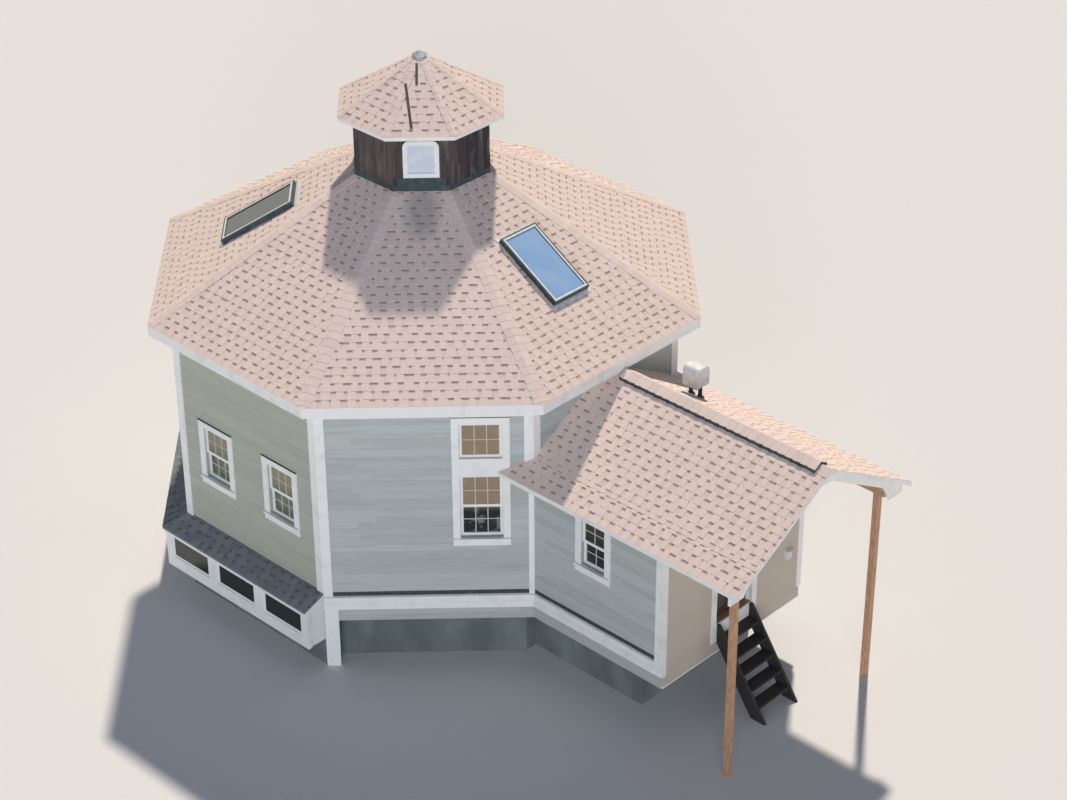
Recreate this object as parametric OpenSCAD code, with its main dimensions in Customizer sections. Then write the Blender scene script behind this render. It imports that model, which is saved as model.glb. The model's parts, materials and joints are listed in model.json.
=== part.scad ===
// Octagonal timber house with a cupola on its roof and a gabled entry wing with a porch.
// The origin is on the lowest ground below the roof's peak. The entry wing points along -Y.
// A side of the octagon is drawn facing -Y and then turned to its own direction.

/* [Octagon] */
// Centre to the outer face of a wall
wall_apothem = 4066; // [3700:1:4500]
// Thickness of the timber walls
wall_t = 150; // [100:1:200]
// Height of the floor above the lowest ground
floor_h = 1450; // [1300:10:1800]
// Depth of the floor framing with its boards
floor_t = 290; // [200:10:320]
// Thickness of the foundation walls
foundation_t = 200; // [160:1:260]
// Set back of the foundation below the rim that carries the walls
foundation_back = 300; // [200:10:450]
// Height of that rim and of the beams under the entry wing
beam_h = 260; // [180:1:320]
// Thickness of the basement slab
slab_t = 100; // [60:1:160]

/* [Main roof] */
// Height of the roof's edge above the floor
eave_h = 3704; // [3500:1:4200]
// Reach of the eave past the wall
eave_overhang = 369; // [250:1:500]
// Pitch of both shingled roofs in degrees
roof_pitch = 30.3; // [22:0.1:38]
// Thickness of the roof, square to its slope
roof_t = 150; // [100:1:200]
// Thickness of the outside trim boards
trim_t = 25; // [18:1:35]
// Height of the fascia
fascia_h = 180; // [150:1:240]
// Thickness of the soffit
soffit_t = 14; // [10:1:18]
// Height of the frieze board
frieze_h = 230; // [120:1:260]
// Width of each leg of a corner board
corner_w = 140; // [90:1:180]
// Width of the narrow legs of the corner boards at the entry wing
narrow_w = 75; // [50:1:90]
// Height of the band board
band_h = 260; // [180:1:280]
// Top of the band board below the floor
band_drop = 70; // [30:1:90]
// Height and reach of the drip cap on the band board
band_cap = 15; // [10:1:25]
// Width of the hip caps on one slope
hip_w = 130; // [90:1:180]
// Thickness of the hip caps
hip_t = 14; // [8:1:25]
// Clearance between two runs of boards that meet
seat = 0.05; // [0.05:0.05:1]

/* [Windows] */
// Width of a double hung window's opening
window_w = 600; // [480:1:760]
// Height of a double hung window's opening
window_h = 950; // [850:1:1300]
// Bottom of the double hung openings above the floor
window_sill = 1000; // [700:1:1100]
// Centre of a double hung window from the middle of its wall
window_x = 780; // [560:1:1000]
// Width of the tall window's openings
tall_w = 680; // [560:1:800]
// Bottom of the tall window above the floor
tall_sill = 1030; // [800:1:1060]
// Height of the tall window's lower opening
tall_h = 1170; // [1000:1:1200]
// Height of the post between the lower opening and the light above
tall_rail = 320; // [240:1:350]
// Height of the light above the tall window
light_h = 640; // [500:1:670]
// Centre of the tall window from the middle of its wall
tall_x = 869; // [700:1:1000]
// Width of the boards round a window
casing_w = 115; // [80:1:130]
// Height of the board under a window
apron_h = 145; // [100:1:180]
// Width of a sash's bars
sash_w = 50; // [35:1:60]
// Thickness of a sash
sash_t = 35; // [28:1:42]
// Depth of the upper sash behind the wall's face
sash_set = 25; // [10:1:50]
// Thickness of the window glass
glass_t = 6; // [4:1:10]
// Reach of the window sills past the boards
sill_reach = 35; // [15:1:60]
// Height of the window sills
sill_h = 40; // [25:1:60]

/* [Basement windows] */
// Width of a basement window
basement_w = 940; // [800:1:1000]
// Height of a basement window
basement_h = 450; // [380:1:470]
// Bottom of the basement windows below the floor
basement_drop = 720; // [700:1:760]
// Distance between the middles of two basement windows
basement_pitch = 1150; // [1060:1:1160]
// Width of a basement window's bars
basement_bar = 40; // [30:1:50]
// Depth of the basement windows behind the bay's face
basement_set = 20; // [10:1:30]
// Width of an opening in the foundation behind the basement windows
basement_hole_w = 700; // [500:1:800]
// Height of the foundation above those openings
lintel_h = 100; // [80:1:140]
// Bottom of the window bay below the floor
bay_drop = 930; // [850:1:1000]
// Thickness of the bay's boards
bay_t = 50; // [40:1:60]
// Width of the white panels at the foundation's corners
corner_panel = 215; // [180:1:330]

/* [Pent roof] */
// Reach of the pent roof from the wall
pent_depth = 440; // [380:1:520]
// Top of the pent roof below the floor
pent_drop = 5; // [0:1:40]
// Pitch of the pent roof in degrees
pent_pitch = 21; // [16:0.1:25]
// Height of the pent roof's edge
pent_t = 30; // [20:1:45]
// Height of the pent roof's fascia
pent_fascia = 90; // [70:1:100]

/* [Skylights] */
// Width of a skylight
skylight_w = 780; // [600:1:900]
// Length of a skylight along the slope
skylight_l = 1380; // [1000:1:1500]
// Height of a skylight's frame above the roof
skylight_h = 90; // [60:1:130]
// Width of a skylight frame's bars
skylight_bar = 60; // [45:1:90]
// Distance of a skylight's middle from the centre of the house
skylight_n = 2690; // [2500:1:2900]

/* [Cupola] */
// Centre to the outer face of the cupola's walls
cupola_apothem = 1071; // [900:1:1250]
// Thickness of the cupola's walls
cupola_t = 70; // [50:1:100]
// Height of the cupola's eave above the roof at its foot
cupola_h = 1045; // [950:1:1400]
// Reach of the cupola's eave past its walls
cupola_overhang = 252; // [150:1:350]
// Pitch of the cupola's roof in degrees
cupola_pitch = 33; // [25:0.1:42]
// Thickness of the cupola's roof, square to its slope
cupola_roof_t = 50; // [35:1:70]
// Width of a cupola window with its frame
cupola_window_w = 575; // [500:1:640]
// Height of a cupola window with its frame
cupola_window_h = 640; // [560:1:690]
// Bottom of a cupola window above the roof at the cupola's foot
cupola_sill = 228; // [180:1:260]
// Radius of the top corners of a cupola window
cupola_window_r = 110; // [100:1:160]
// Width of a cupola window's frame
cupola_bar = 75; // [50:1:90]
// Width of the panels under the cupola's windows
cupola_apron_w = 770; // [660:1:800]
// Width of the cap on the cupola's peak
cap_w = 240; // [160:1:320]
// Thickness of the cap's rim
cap_rim = 25; // [15:1:40]
// Width of the cupola's hip caps on one slope
cupola_hip_w = 75; // [50:1:100]
// Thickness of the cupola's hip caps
cupola_hip_t = 10; // [6:1:16]
// Height of the flashing at the cupola's foot
flashing_h = 90; // [60:1:95]

/* [Entry wing] */
// Depth of the entry wing from the octagon to its front wall
wing_depth = 2734; // [2200:1:3200]
// Height of the wing's ridge above the floor
wing_ridge_h = 3500; // [3300:1:3500]
// Reach of the wing's eaves past its walls
wing_overhang = 416; // [250:1:500]
// Thickness of the wing's roof, square to its slope
wing_roof_t = 60; // [50:1:150]
// Height of the wing's fascias
wing_fascia = 75; // [70:1:180]
// Width of the opening from the octagon into the wing
passage_w = 2400; // [1600:10:2500]
// Height of the opening from the octagon into the wing
passage_h = 2150; // [2000:10:2250]
// Width of a window in the wing
wing_window_w = 500; // [400:1:600]
// Height of a window in the wing
wing_window_h = 880; // [700:1:920]
// Distance of a wing window's middle from the octagon's wall
wing_window_y = 1280; // [1000:1:1500]
// Set back of the wing's foundation behind its walls
wing_set_back = 350; // [250:10:500]
// Set back of the foundation's front wall behind the wing's front
wing_front_back = 700; // [300:10:1000]
// Width of the ridge vent
ridge_vent_w = 300; // [200:1:360]
// Height of the ridge vent
ridge_vent_h = 50; // [30:1:60]
// Distance from the ridge vent's end to the gable
ridge_vent_gap = 200; // [80:1:400]

/* [Porch] */
// Reach of the porch roof past the wing's front wall
porch_depth = 1750; // [1400:1:2000]
// Side of the square porch posts
post_w = 100; // [90:1:160]
// Centre of a post from the middle of the porch
post_x = 1720; // [1690:1:1760]
// Set back of the posts from the gable's face
post_set_back = 350; // [200:1:500]
// Height of the posts' tops above the floor
post_top = 2100; // [1950:1:2150]
// Radius of the arch in the gable
arch_r = 1950; // [1850:1:2050]
// Height of the arch's centre above the floor
arch_h = 1190; // [1100:1:1250]
// Thickness of the gable board
gable_t = 40; // [30:1:60]
// Height of the gable board below the roof's surface
gable_h = 240; // [200:1:300]
// Reach of the wing's roof past the gable board
rake_reach = 150; // [60:1:250]

/* [Door] */
// Width of the door leaf
door_w = 860; // [760:1:900]
// Height of the door leaf
door_h = 2020; // [1900:1:2050]
// Thickness of the door leaf
door_t = 44; // [35:1:50]
// Gap round the door leaf
door_gap = 6; // [5:1:10]
// Thickness of the door frame's posts
jamb_t = 35; // [25:1:45]
// Middle of the doorway from the middle of the wing
door_x = 15; // [0:1:120]
// Thickness of the stop strips on the door frame
stop_t = 12; // [9:1:20]
// Depth of the stop strips
stop_d = 30; // [20:1:40]
// Width of the leaf's outer boards
stile_w = 110; // [90:1:130]
// Width of the leaf's boards between its panels
rail_w = 95; // [80:1:120]
// Depth of the leaf's panels
panel_d = 9; // [5:1:14]
// Height of the knob above the floor
knob_h = 1000; // [900:1:1100]
// Radius of the knob
knob_r = 27; // [22:1:32]
// Height of a hinge
hinge_h = 90; // [70:1:110]
// Radius of a hinge's barrel
barrel_r = 8; // [7:0.5:9]
// Radius of a hinge's pin
pin_r = 4; // [3:0.5:5]
// Clearance round a hinge's pin
pin_gap = 0.25; // [0.1:0.05:0.4]
// Distance of the hinge pins past the leaf's edge
hinge_out = 4; // [3:0.5:5]
// Thickness of a hinge's plates
plate_t = 3; // [2:0.5:4]

/* [Stair] */
// Number of steps from the ground up to the floor
risers = 6; // [5:1:8]
// Depth from one step to the next
step_run = 165; // [140:1:200]
// Depth of a tread
tread_d = 220; // [180:1:240]
// Thickness of a tread
tread_t = 38; // [30:1:45]
// Width of a stringer's board
stringer_h = 240; // [200:1:280]
// Thickness of a stringer
stringer_t = 45; // [35:1:55]
// Clear width of the stair between its stringers
stair_w = 750; // [650:1:780]

/* [Roof vent and wall box] */
// Place of the roof vent to the right of the ridge
vent_x = 780; // [450:1:1000]
// Distance of the roof vent from the octagon's wall
vent_y = 1184; // [800:1:1400]
// Height of the roof vent
vent_h = 560; // [400:1:640]
// Width of the roof vent's hood
vent_w = 300; // [220:1:340]
// Height of the roof vent's hood
hood_h = 340; // [250:1:360]
// Radius of the hood's upper corners
hood_r = 90; // [40:1:105]
// Radius of the roof vent's legs
leg_r = 32; // [20:1:45]
// Middle of a leg from the middle of the roof vent
leg_y = 95; // [60:1:110]
// Thickness of the roof vent's base plate
base_t = 6; // [3:1:10]
// Place of the wall box to the right of the wing's middle
box_x = 1330; // [1200:1:1380]
// Bottom of the wall box above the floor
box_z = 390; // [300:1:900]
// Width of the wall box
box_w = 120; // [80:1:160]

/* [Hidden] */
$fn = 48;

// Directions that the eight sides face
FRONT = -90;
FRONT_RIGHT = -45;
RIGHT = 0;
BACK_RIGHT = 45;
BACK = 90;
BACK_LEFT = 135;
LEFT = 180;
FRONT_LEFT = -135;
SQUARE_SIDES = [FRONT, RIGHT, BACK, LEFT];
CORNER_SIDES = [FRONT_RIGHT, BACK_RIGHT, BACK_LEFT, FRONT_LEFT];
ALL_SIDES = concat(SQUARE_SIDES, CORNER_SIDES);
PENT_SIDES = [LEFT, BACK_LEFT];
BAND_SIDES = [RIGHT, BACK, FRONT_RIGHT, BACK_RIGHT, FRONT_LEFT];
PAIRED_SIDES = [LEFT, RIGHT, BACK, BACK_LEFT, BACK_RIGHT];
SKYLIGHT_SIDES = [FRONT, BACK_LEFT];
// Sides that end in a white panel at the foundation, each with the end that has it
PANEL_ENDS = [[FRONT_LEFT, -1], [BACK, 1]];

half_turn = 22.5;
tan_half = tan(half_turn);
reach = 12000;
slope = tan(roof_pitch);
foundation_h = floor_h - floor_t;
side_half = wall_apothem * tan_half;
inner_apothem = wall_apothem - wall_t;
eave_z = floor_h + eave_h;
eave_apothem = wall_apothem + eave_overhang;
roof_drop = roof_t / cos(roof_pitch);
soffit_z = eave_z - fascia_h;
frieze_z = soffit_z - frieze_h;
band_z = floor_h - band_drop;
cupola_slope = tan(cupola_pitch);
cupola_foot = roof_top(cupola_apothem);
cupola_eave_z = cupola_foot + cupola_h;
cupola_eave_apothem = cupola_apothem + cupola_overhang;
cupola_drop = cupola_roof_t / cos(cupola_pitch);
beam_z = foundation_h - beam_h;
band_foot = band_z - band_h;
cupola_peak = cupola_eave_z + cupola_eave_apothem * cupola_slope;
cupola_soffit_z = cupola_eave_z - cupola_drop - soffit_t;
wing_half = side_half;
wing_front = wall_apothem + wing_depth;
wing_eave = wing_half + wing_overhang;
wing_drop = wing_roof_t / cos(roof_pitch);
wing_ridge = floor_h + wing_ridge_h;
gable_front = wing_front + porch_depth;
gable_face = gable_front - rake_reach;
passage_top = floor_h + passage_h;
doorway_w = door_w + 2 * door_gap;
doorway_h = door_h + 2 * door_gap;
doorway_half = doorway_w / 2 + jamb_t;
doorway_top = floor_h + doorway_h + jamb_t;
door_inner = -wing_front + wall_t;
hinge_x = door_x + door_w / 2 + hinge_out;
hinge_y = door_inner + barrel_r;
knuckle_h = hinge_h / 3;
riser_h = floor_h / risers;
tall_top = tall_sill + tall_h + tall_rail + light_h;
pent_slope = tan(pent_pitch);
pent_face = wall_apothem + pent_depth - trim_t;
bay_face = pent_face - trim_t;
bay_inner = bay_face - bay_t;
bay_end = side_half - trim_t;
bay_foot = floor_h - bay_drop;
bay_middle = (side_half - bay_face * tan_half) / 2;
basement_z = floor_h - basement_drop;
pent_low = pent_top(pent_face) - pent_t - pent_fascia;
wing_start = wall_apothem / 2;
stair_start = wing_front + trim_t;
stair_angle = atan(riser_h / step_run);

// Height of the main roof's surface at a distance from the centre
function roof_top(n) = eave_z + (eave_apothem - n) * slope;
// Height of the cupola roof's underside at a distance from the centre
function cupola_under(n) = cupola_eave_z + (cupola_eave_apothem - n) * cupola_slope - cupola_drop;
// Height of the pent roof's surface at a distance from the centre
function pent_top(n) = floor_h - pent_drop - (n - wall_apothem) * pent_slope;
// Height just below the pent roof at a distance from the centre
function pent_under(n) = pent_top(n) - pent_t - seat;
// Height of the wing roof's surface beside its ridge
function wing_top(x) = wing_ridge - abs(x) * slope;
// Height of the wing roof's underside beside its ridge
function wing_under(x) = wing_top(x) - wing_drop - seat;

module octagon(apothem) {
    rotate(half_turn) circle(r = apothem / cos(half_turn), $fn = 8);
}

module at_side(angle) {
    rotate([0, 0, angle - FRONT]) children();
}

// A prism along X whose outline is given as distance from the centre and height
module along_side(outline, width) {
    rotate([90, 0, 90])
        linear_extrude(width, center = true)
            polygon([for (p = outline) [-p[0], p[1]]]);
}

// The slice of plan that belongs to one side
module side_slice(far = reach) {
    linear_extrude(reach)
        polygon([[0, 0], [-far * tan_half, -far], [far * tan_half, -far]]);
}

// Mitred lengths of one outline on the sides named
module run_round(outline, sides) {
    for (angle = sides)
        at_side(angle)
            intersection() {
                side_slice();
                along_side(outline, reach);
            }
}

module plain_wall(outer, inner, z0) {
    intersection() {
        side_slice();
        along_side([[outer, z0], [outer, roof_top(outer) - roof_drop - seat],
            [inner, roof_top(inner) - roof_drop - seat], [inner, z0]], 2 * side_half);
    }
}

module hole(x, z, w, h) {
    translate([x - w / 2, -wall_apothem - wall_t, z]) cube([w, 3 * wall_t, h]);
}

// Places of the double hung windows, the tall windows and the wing's windows
module at_paired_windows() {
    for (angle = PAIRED_SIDES)
        for (s = [-1, 1])
            at_side(angle)
                translate([s * window_x, -wall_apothem, floor_h + window_sill]) children();
}

module at_tall_windows() {
    for (s = [-1, 1])
        at_side(s > 0 ? FRONT_LEFT : FRONT_RIGHT)
            translate([s * tall_x, -wall_apothem, floor_h + tall_sill]) children();
}

module at_wing_windows() {
    for (s = [-1, 1])
        translate([s * wing_half, -wall_apothem - wing_window_y, floor_h + window_sill])
            rotate([0, 0, s * 90]) children();
}

module bar_frame(w, h, bar, t) {
    rotate([90, 0, 0])
        linear_extrude(t)
            difference() {
                translate([-w / 2, 0]) square([w, h]);
                translate([-w / 2 + bar, bar]) square([w - 2 * bar, h - 2 * bar]);
            }
}

// Boards round an opening, with a sill that reaches out
module opening_boards(w, h) {
    difference() {
        translate([-w / 2 - casing_w, -trim_t, -apron_h])
            cube([w + 2 * casing_w, trim_t, h + casing_w + apron_h]);
        translate([-w / 2, -2 * trim_t, 0]) cube([w, 4 * trim_t, h]);
    }
    translate([-w / 2 - casing_w, -trim_t - sill_reach, -sill_h])
        cube([w + 2 * casing_w, sill_reach, sill_h]);
}

// Two sashes, the lower one behind the upper
module hung_sashes(w, h) {
    half = (h + sash_w) / 2;
    translate([0, sash_set + sash_t, h - half]) bar_frame(w, half, sash_w, sash_t);
    translate([0, sash_set + 2 * sash_t, 0]) bar_frame(w, half, sash_w, sash_t);
}

module pane(w, h, y) {
    translate([-w / 2, y, 0]) cube([w, glass_t, h]);
}

module hung_panes(w, h) {
    half = (h + sash_w) / 2;
    clear = half - 2 * sash_w;
    inset = (sash_t - glass_t) / 2;
    translate([0, 0, h - half + sash_w]) pane(w - 2 * sash_w, clear, sash_set + inset);
    translate([0, 0, sash_w]) pane(w - 2 * sash_w, clear, sash_set + sash_t + inset);
}

module basement_slab() {
    back = foundation_back + foundation_t + seat;
    color("darkgray")
        linear_extrude(slab_t)
            difference() {
                octagon(wall_apothem - foundation_t - seat);
                for (angle = concat(BAND_SIDES, [FRONT]))
                    rotate(angle - FRONT)
                        intersection() {
                            translate([-wall_apothem, -wall_apothem]) square([2 * wall_apothem, back]);
                            polygon([[0, 3 * seat], [-reach * tan_half, 3 * seat - reach],
                                [reach * tan_half, 3 * seat - reach]]);
                        }
            }
}

// A side of the foundation, which stands back below its rim except behind the window bay
module foundation_side(angle) {
    back = angle == LEFT || angle == BACK_LEFT ? 0 : foundation_back;
    intersection() {
        side_slice();
        union() {
            translate([-side_half, -wall_apothem, beam_z]) cube([2 * side_half, back + foundation_t, beam_h]);
            translate([-side_half, back - wall_apothem, 0]) cube([2 * side_half, foundation_t, foundation_h]);
            for (end = PANEL_ENDS)
                if (end[0] == angle)
                    translate([end[1] > 0 ? side_half - corner_panel : -side_half, -wall_apothem, 0])
                        cube([corner_panel, back + foundation_t, foundation_h]);
        }
    }
}

// Openings from the basement into the window bay
module basement_holes() {
    for (i = [-1 : 1])
        hole(i * 2 * side_half / 3, basement_z, basement_hole_w, foundation_h - lintel_h - basement_z);
}

module foundation_square_sides() {
    color("gray")
        for (angle = SQUARE_SIDES)
            at_side(angle)
                difference() {
                    foundation_side(angle);
                    if (angle == LEFT) basement_holes();
                }
}

module foundation_corner_sides() {
    color("gray")
        for (angle = CORNER_SIDES)
            at_side(angle)
                difference() {
                    foundation_side(angle);
                    if (angle == BACK_LEFT) basement_holes();
                }
}

module main_floor() {
    color("peru")
        translate([0, 0, foundation_h + seat])
            linear_extrude(floor_t - seat) octagon(inner_apothem - seat);
}

module octagon_wall() {
    plain_wall(wall_apothem, inner_apothem, foundation_h);
}

module paired_wall(angle) {
    color("gainsboro")
        at_side(angle)
            difference() {
                octagon_wall();
                for (s = [-1, 1])
                    hole(s * window_x, floor_h + window_sill, window_w, window_h);
            }
}

module tall_wall(angle, s) {
    color("lightgray")
        at_side(angle)
            difference() {
                octagon_wall();
                hole(s * tall_x, floor_h + tall_sill, tall_w, tall_h);
                hole(s * tall_x, floor_h + tall_sill + tall_h + tall_rail, tall_w, light_h);
            }
}

module wall_left() { paired_wall(LEFT); }
module wall_right() { paired_wall(RIGHT); }
module wall_back() { paired_wall(BACK); }
module wall_back_left() { paired_wall(BACK_LEFT); }
module wall_back_right() { paired_wall(BACK_RIGHT); }
module wall_front_left() { tall_wall(FRONT_LEFT, 1); }
module wall_front_right() { tall_wall(FRONT_RIGHT, -1); }

// The wall between the octagon and the wing, beside its wide opening
module wall_front_sides() {
    color("lightgray")
        difference() {
            intersection() {
                octagon_wall();
                translate([-reach / 2, -reach / 2, 0]) cube([reach, reach, passage_top]);
            }
            translate([-passage_w / 2, -reach / 2, 0]) cube([passage_w, reach, passage_top]);
        }
}

module wall_front_top() {
    color("lightgray")
        intersection() {
            octagon_wall();
            translate([-reach / 2, -reach / 2, passage_top]) cube([reach, reach, reach]);
        }
}

// Everything under the wing roof's surface
module wing_space() {
    rotate([90, 0, 0])
        linear_extrude(reach)
            polygon([[-wing_half, 0], [-wing_half, wing_top(wing_half)], [0, wing_ridge],
                [wing_half, wing_top(wing_half)], [wing_half, 0]]);
}

module wing_slope(s) {
    edge = wing_eave - trim_t;
    difference() {
        translate([0, -wing_start, 0])
            rotate([90, 0, 0])
                linear_extrude(gable_front - trim_t - wing_start)
                    polygon([[0, wing_ridge], [s * edge, wing_top(edge)],
                        [s * edge, wing_top(edge) - wing_drop], [0, wing_ridge - wing_drop]]);
        linear_extrude(reach) octagon(wall_apothem);
    }
}

module wing_slopes() {
    for (s = [-1, 1]) wing_slope(s);
}

module corner_leg(s, w, low) {
    outer = (wall_apothem + trim_t) * tan_half;
    translate([0, 0, low])
        linear_extrude(frieze_z - low)
            polygon([[s * outer, -wall_apothem - trim_t], [s * side_half, -wall_apothem],
                [s * (side_half - w), -wall_apothem],
                [s * (side_half - w), -wall_apothem - trim_t]]);
}

// Both legs at the ends of one side, narrow under the wing's roof and shorter over the pent roof
module side_legs(angle) {
    low = angle == LEFT || angle == BACK_LEFT ? pent_top(wall_apothem) + seat : band_z;
    for (s = [-1, 1])
        if ((angle == FRONT_LEFT && s > 0) || (angle == FRONT_RIGHT && s < 0)) {
            corner_leg(s, narrow_w, low);
            corner_leg(s, corner_w, wing_under(wing_eave));
        } else {
            corner_leg(s, corner_w, low);
        }
}

module wing_corner_board(s) {
    top = wing_under(wing_half + trim_t);
    translate([0, 0, band_foot])
        linear_extrude(top - band_foot)
            polygon([[s * (wing_half - narrow_w), -wing_front],
                [s * (wing_half - narrow_w), -wing_front - trim_t],
                [s * (wing_half + trim_t), -wing_front - trim_t],
                [s * (wing_half + trim_t), -wing_front + corner_w],
                [s * wing_half, -wing_front + corner_w], [s * wing_half, -wing_front]]);
}

module corner_boards() {
    color("white") {
        difference() {
            for (angle = ALL_SIDES) at_side(angle) side_legs(angle);
            wing_space();
            wing_slopes();
        }
        for (s = [-1, 1]) wing_corner_board(s);
    }
}

// The band board has a sloped drip cap on its top edge
function band_outline(face, top, cap) = [[face, top - band_h], [face + trim_t, top - band_h],
    [face + trim_t, top - 2 * cap], [face + trim_t + cap, top - 2 * cap],
    [face + trim_t + cap, top - cap], [face, top]];

module band_boards() {
    color("white")
        difference() {
            run_round(band_outline(wall_apothem, band_z, band_cap), BAND_SIDES);
            wing_space();
            wing_band_runs();
        }
}

module frieze_boards() {
    color("white")
        difference() {
            run_round([[wall_apothem, frieze_z], [wall_apothem + trim_t, frieze_z],
                [wall_apothem + trim_t, soffit_z - seat], [wall_apothem, soffit_z - seat]], ALL_SIDES);
            wing_space();
            wing_slopes();
        }
}

module eave_soffit() {
    color("white")
        translate([0, 0, soffit_z])
            linear_extrude(soffit_t)
                difference() {
                    octagon(eave_apothem - trim_t - seat);
                    octagon(wall_apothem);
                }
}

module eave_fascia() {
    inside = eave_apothem - trim_t;
    color("white")
        run_round([[inside, soffit_z], [eave_apothem, soffit_z], [eave_apothem, eave_z],
            [inside, roof_top(inside)]], ALL_SIDES);
}

function slope_outline() = [[eave_apothem - trim_t, roof_top(eave_apothem - trim_t)],
    [cupola_apothem, cupola_foot], [cupola_apothem, cupola_foot - roof_drop],
    [eave_apothem - trim_t, roof_top(eave_apothem - trim_t) - roof_drop]];

module skylight_light() {
    square([skylight_w - 2 * skylight_bar, skylight_l - 2 * skylight_bar], center = true);
}

module on_skylight(angle) {
    at_side(angle)
        translate([0, -skylight_n, roof_top(skylight_n)])
            rotate([roof_pitch, 0, 0]) children();
}

module skylight_holes(sides) {
    for (angle = sides)
        on_skylight(angle)
            linear_extrude(4 * roof_t, center = true) skylight_light();
}

module roof_square_slopes() {
    color("tan")
        difference() {
            run_round(slope_outline(), SQUARE_SIDES);
            skylight_holes([FRONT]);
        }
}

module roof_corner_slopes() {
    color("tan")
        difference() {
            run_round(slope_outline(), CORNER_SIDES);
            skylight_holes([BACK_LEFT]);
        }
}

// Folded strips over the hips of a roof, from its edge up to a distance from the centre
module hip_strips(far, near, edge_z, grade, w, thick) {
    intersection() {
        difference() {
            roof_space(far, edge_z + thick, grade);
            roof_space(far + w, edge_z + seat - w * grade, grade);
        }
        linear_extrude(reach)
            difference() {
                for (angle = ALL_SIDES)
                    rotate(angle + half_turn)
                        translate([0, -w]) square([reach, 2 * w]);
                octagon(near);
            }
    }
}

module hip_caps() {
    color("tan") {
        hip_strips(eave_apothem, cupola_apothem + trim_t + seat, eave_z, slope, hip_w,
            hip_t / cos(roof_pitch));
        hip_strips(cupola_eave_apothem, cap_w / 3, cupola_eave_z, cupola_slope, cupola_hip_w,
            cupola_hip_t / cos(cupola_pitch));
    }
}

module tall_boards() {
    h = tall_top - tall_sill;
    top = frieze_z - floor_h - tall_sill;
    difference() {
        translate([-tall_w / 2 - casing_w, -trim_t, -apron_h])
            cube([tall_w + 2 * casing_w, trim_t, top + apron_h]);
        translate([-tall_w / 2, -2 * trim_t, 0]) cube([tall_w, 4 * trim_t, tall_h]);
        translate([-tall_w / 2, -2 * trim_t, h - light_h]) cube([tall_w, 4 * trim_t, light_h]);
    }
    translate([-tall_w / 2 - casing_w, -trim_t - sill_reach, -sill_h])
        cube([tall_w + 2 * casing_w, sill_reach, sill_h]);
}

module window_boards() {
    color("white") {
        at_paired_windows() opening_boards(window_w, window_h);
        at_wing_windows() opening_boards(wing_window_w, wing_window_h);
        difference() {
            at_tall_windows() tall_boards();
            wing_slopes();
            wing_fascia_boards();
        }
    }
}

module window_sashes() {
    color("ivory") {
        at_paired_windows() hung_sashes(window_w, window_h);
        at_wing_windows() hung_sashes(wing_window_w, wing_window_h);
        at_tall_windows() {
            hung_sashes(tall_w, tall_h);
            translate([0, sash_set + sash_t, tall_h + tall_rail]) bar_frame(tall_w, light_h, sash_w, sash_t);
        }
    }
}

module window_glass() {
    color("slategray") {
        at_paired_windows() hung_panes(window_w, window_h);
        at_wing_windows() hung_panes(wing_window_w, wing_window_h);
        at_tall_windows() {
            hung_panes(tall_w, tall_h);
            translate([0, 0, tall_h + tall_rail + sash_w])
                pane(tall_w - 2 * sash_w, light_h - 2 * sash_w, sash_set + (sash_t - glass_t) / 2);
        }
        at_basement_windows()
            translate([0, basement_set - bay_face, basement_bar])
                pane(basement_w - 2 * basement_bar, basement_h - 2 * basement_bar, glass_t);
    }
}

// Places of the basement windows on the bay, at the height of their sills
module at_basement_windows() {
    for (side = [[LEFT, bay_middle], [BACK_LEFT, -bay_middle]])
        for (i = [-1 : 1])
            at_side(side[0])
                translate([side[1] + i * basement_pitch, 0, basement_z]) children();
}

// A run along the two sides under the pent roof, mitred between them and square at its ends
module pent_run(outline, end = side_half) {
    difference() {
        run_round(outline, PENT_SIDES);
        at_side(LEFT) translate([end, -reach, 0]) cube(reach);
        at_side(BACK_LEFT) translate([-end - reach, -reach, 0]) cube(reach);
    }
}

// A prism across one end of the bay, with its outer face at a distance from the middle of the side
module at_bay_ends(outline, end, t) {
    for (side = [[LEFT, 1], [BACK_LEFT, -1]])
        at_side(side[0])
            translate([side[1] * (end - t / 2), 0, 0]) along_side(outline, t);
}

// The bay's front with its stepped window openings
module basement_window_frames() {
    w = basement_w - 2 * basement_bar;
    color("white")
        difference() {
            pent_run([[bay_face, bay_foot], [bay_face, pent_under(bay_face)],
                [bay_inner, pent_under(bay_inner)], [bay_inner, bay_foot]], bay_end);
            at_basement_windows() {
                translate([-basement_w / 2, -bay_face - basement_set, 0])
                    cube([basement_w, 2 * basement_set, basement_h]);
                translate([-w / 2, -bay_face - basement_set, basement_bar])
                    cube([w, 2 * bay_t, basement_h - 2 * basement_bar]);
            }
        }
}

// White panels on the foundation's corners and the plain ends of the bay
module basement_panels() {
    outer = (wall_apothem + trim_t) * tan_half;
    low = bay_foot + bay_t + seat;
    far = bay_inner - seat;
    color("white") {
        for (end = PANEL_ENDS)
            at_side(end[0])
                linear_extrude(band_foot)
                    polygon([[end[1] * outer, -wall_apothem - trim_t], [end[1] * side_half, -wall_apothem],
                        [end[1] * (side_half - corner_panel), -wall_apothem],
                        [end[1] * (side_half - corner_panel), -wall_apothem - trim_t]]);
        at_bay_ends([[wall_apothem, low], [far, low], [far, pent_under(far)],
            [wall_apothem, pent_under(wall_apothem)]], bay_end, bay_t);
    }
}

module pent_roof() {
    far = wall_apothem + pent_depth;
    color("tan")
        pent_run([[wall_apothem, pent_top(wall_apothem)], [far, pent_top(far)],
            [far, pent_top(far) - pent_t], [wall_apothem, pent_top(wall_apothem) - pent_t]]);
}

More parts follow.
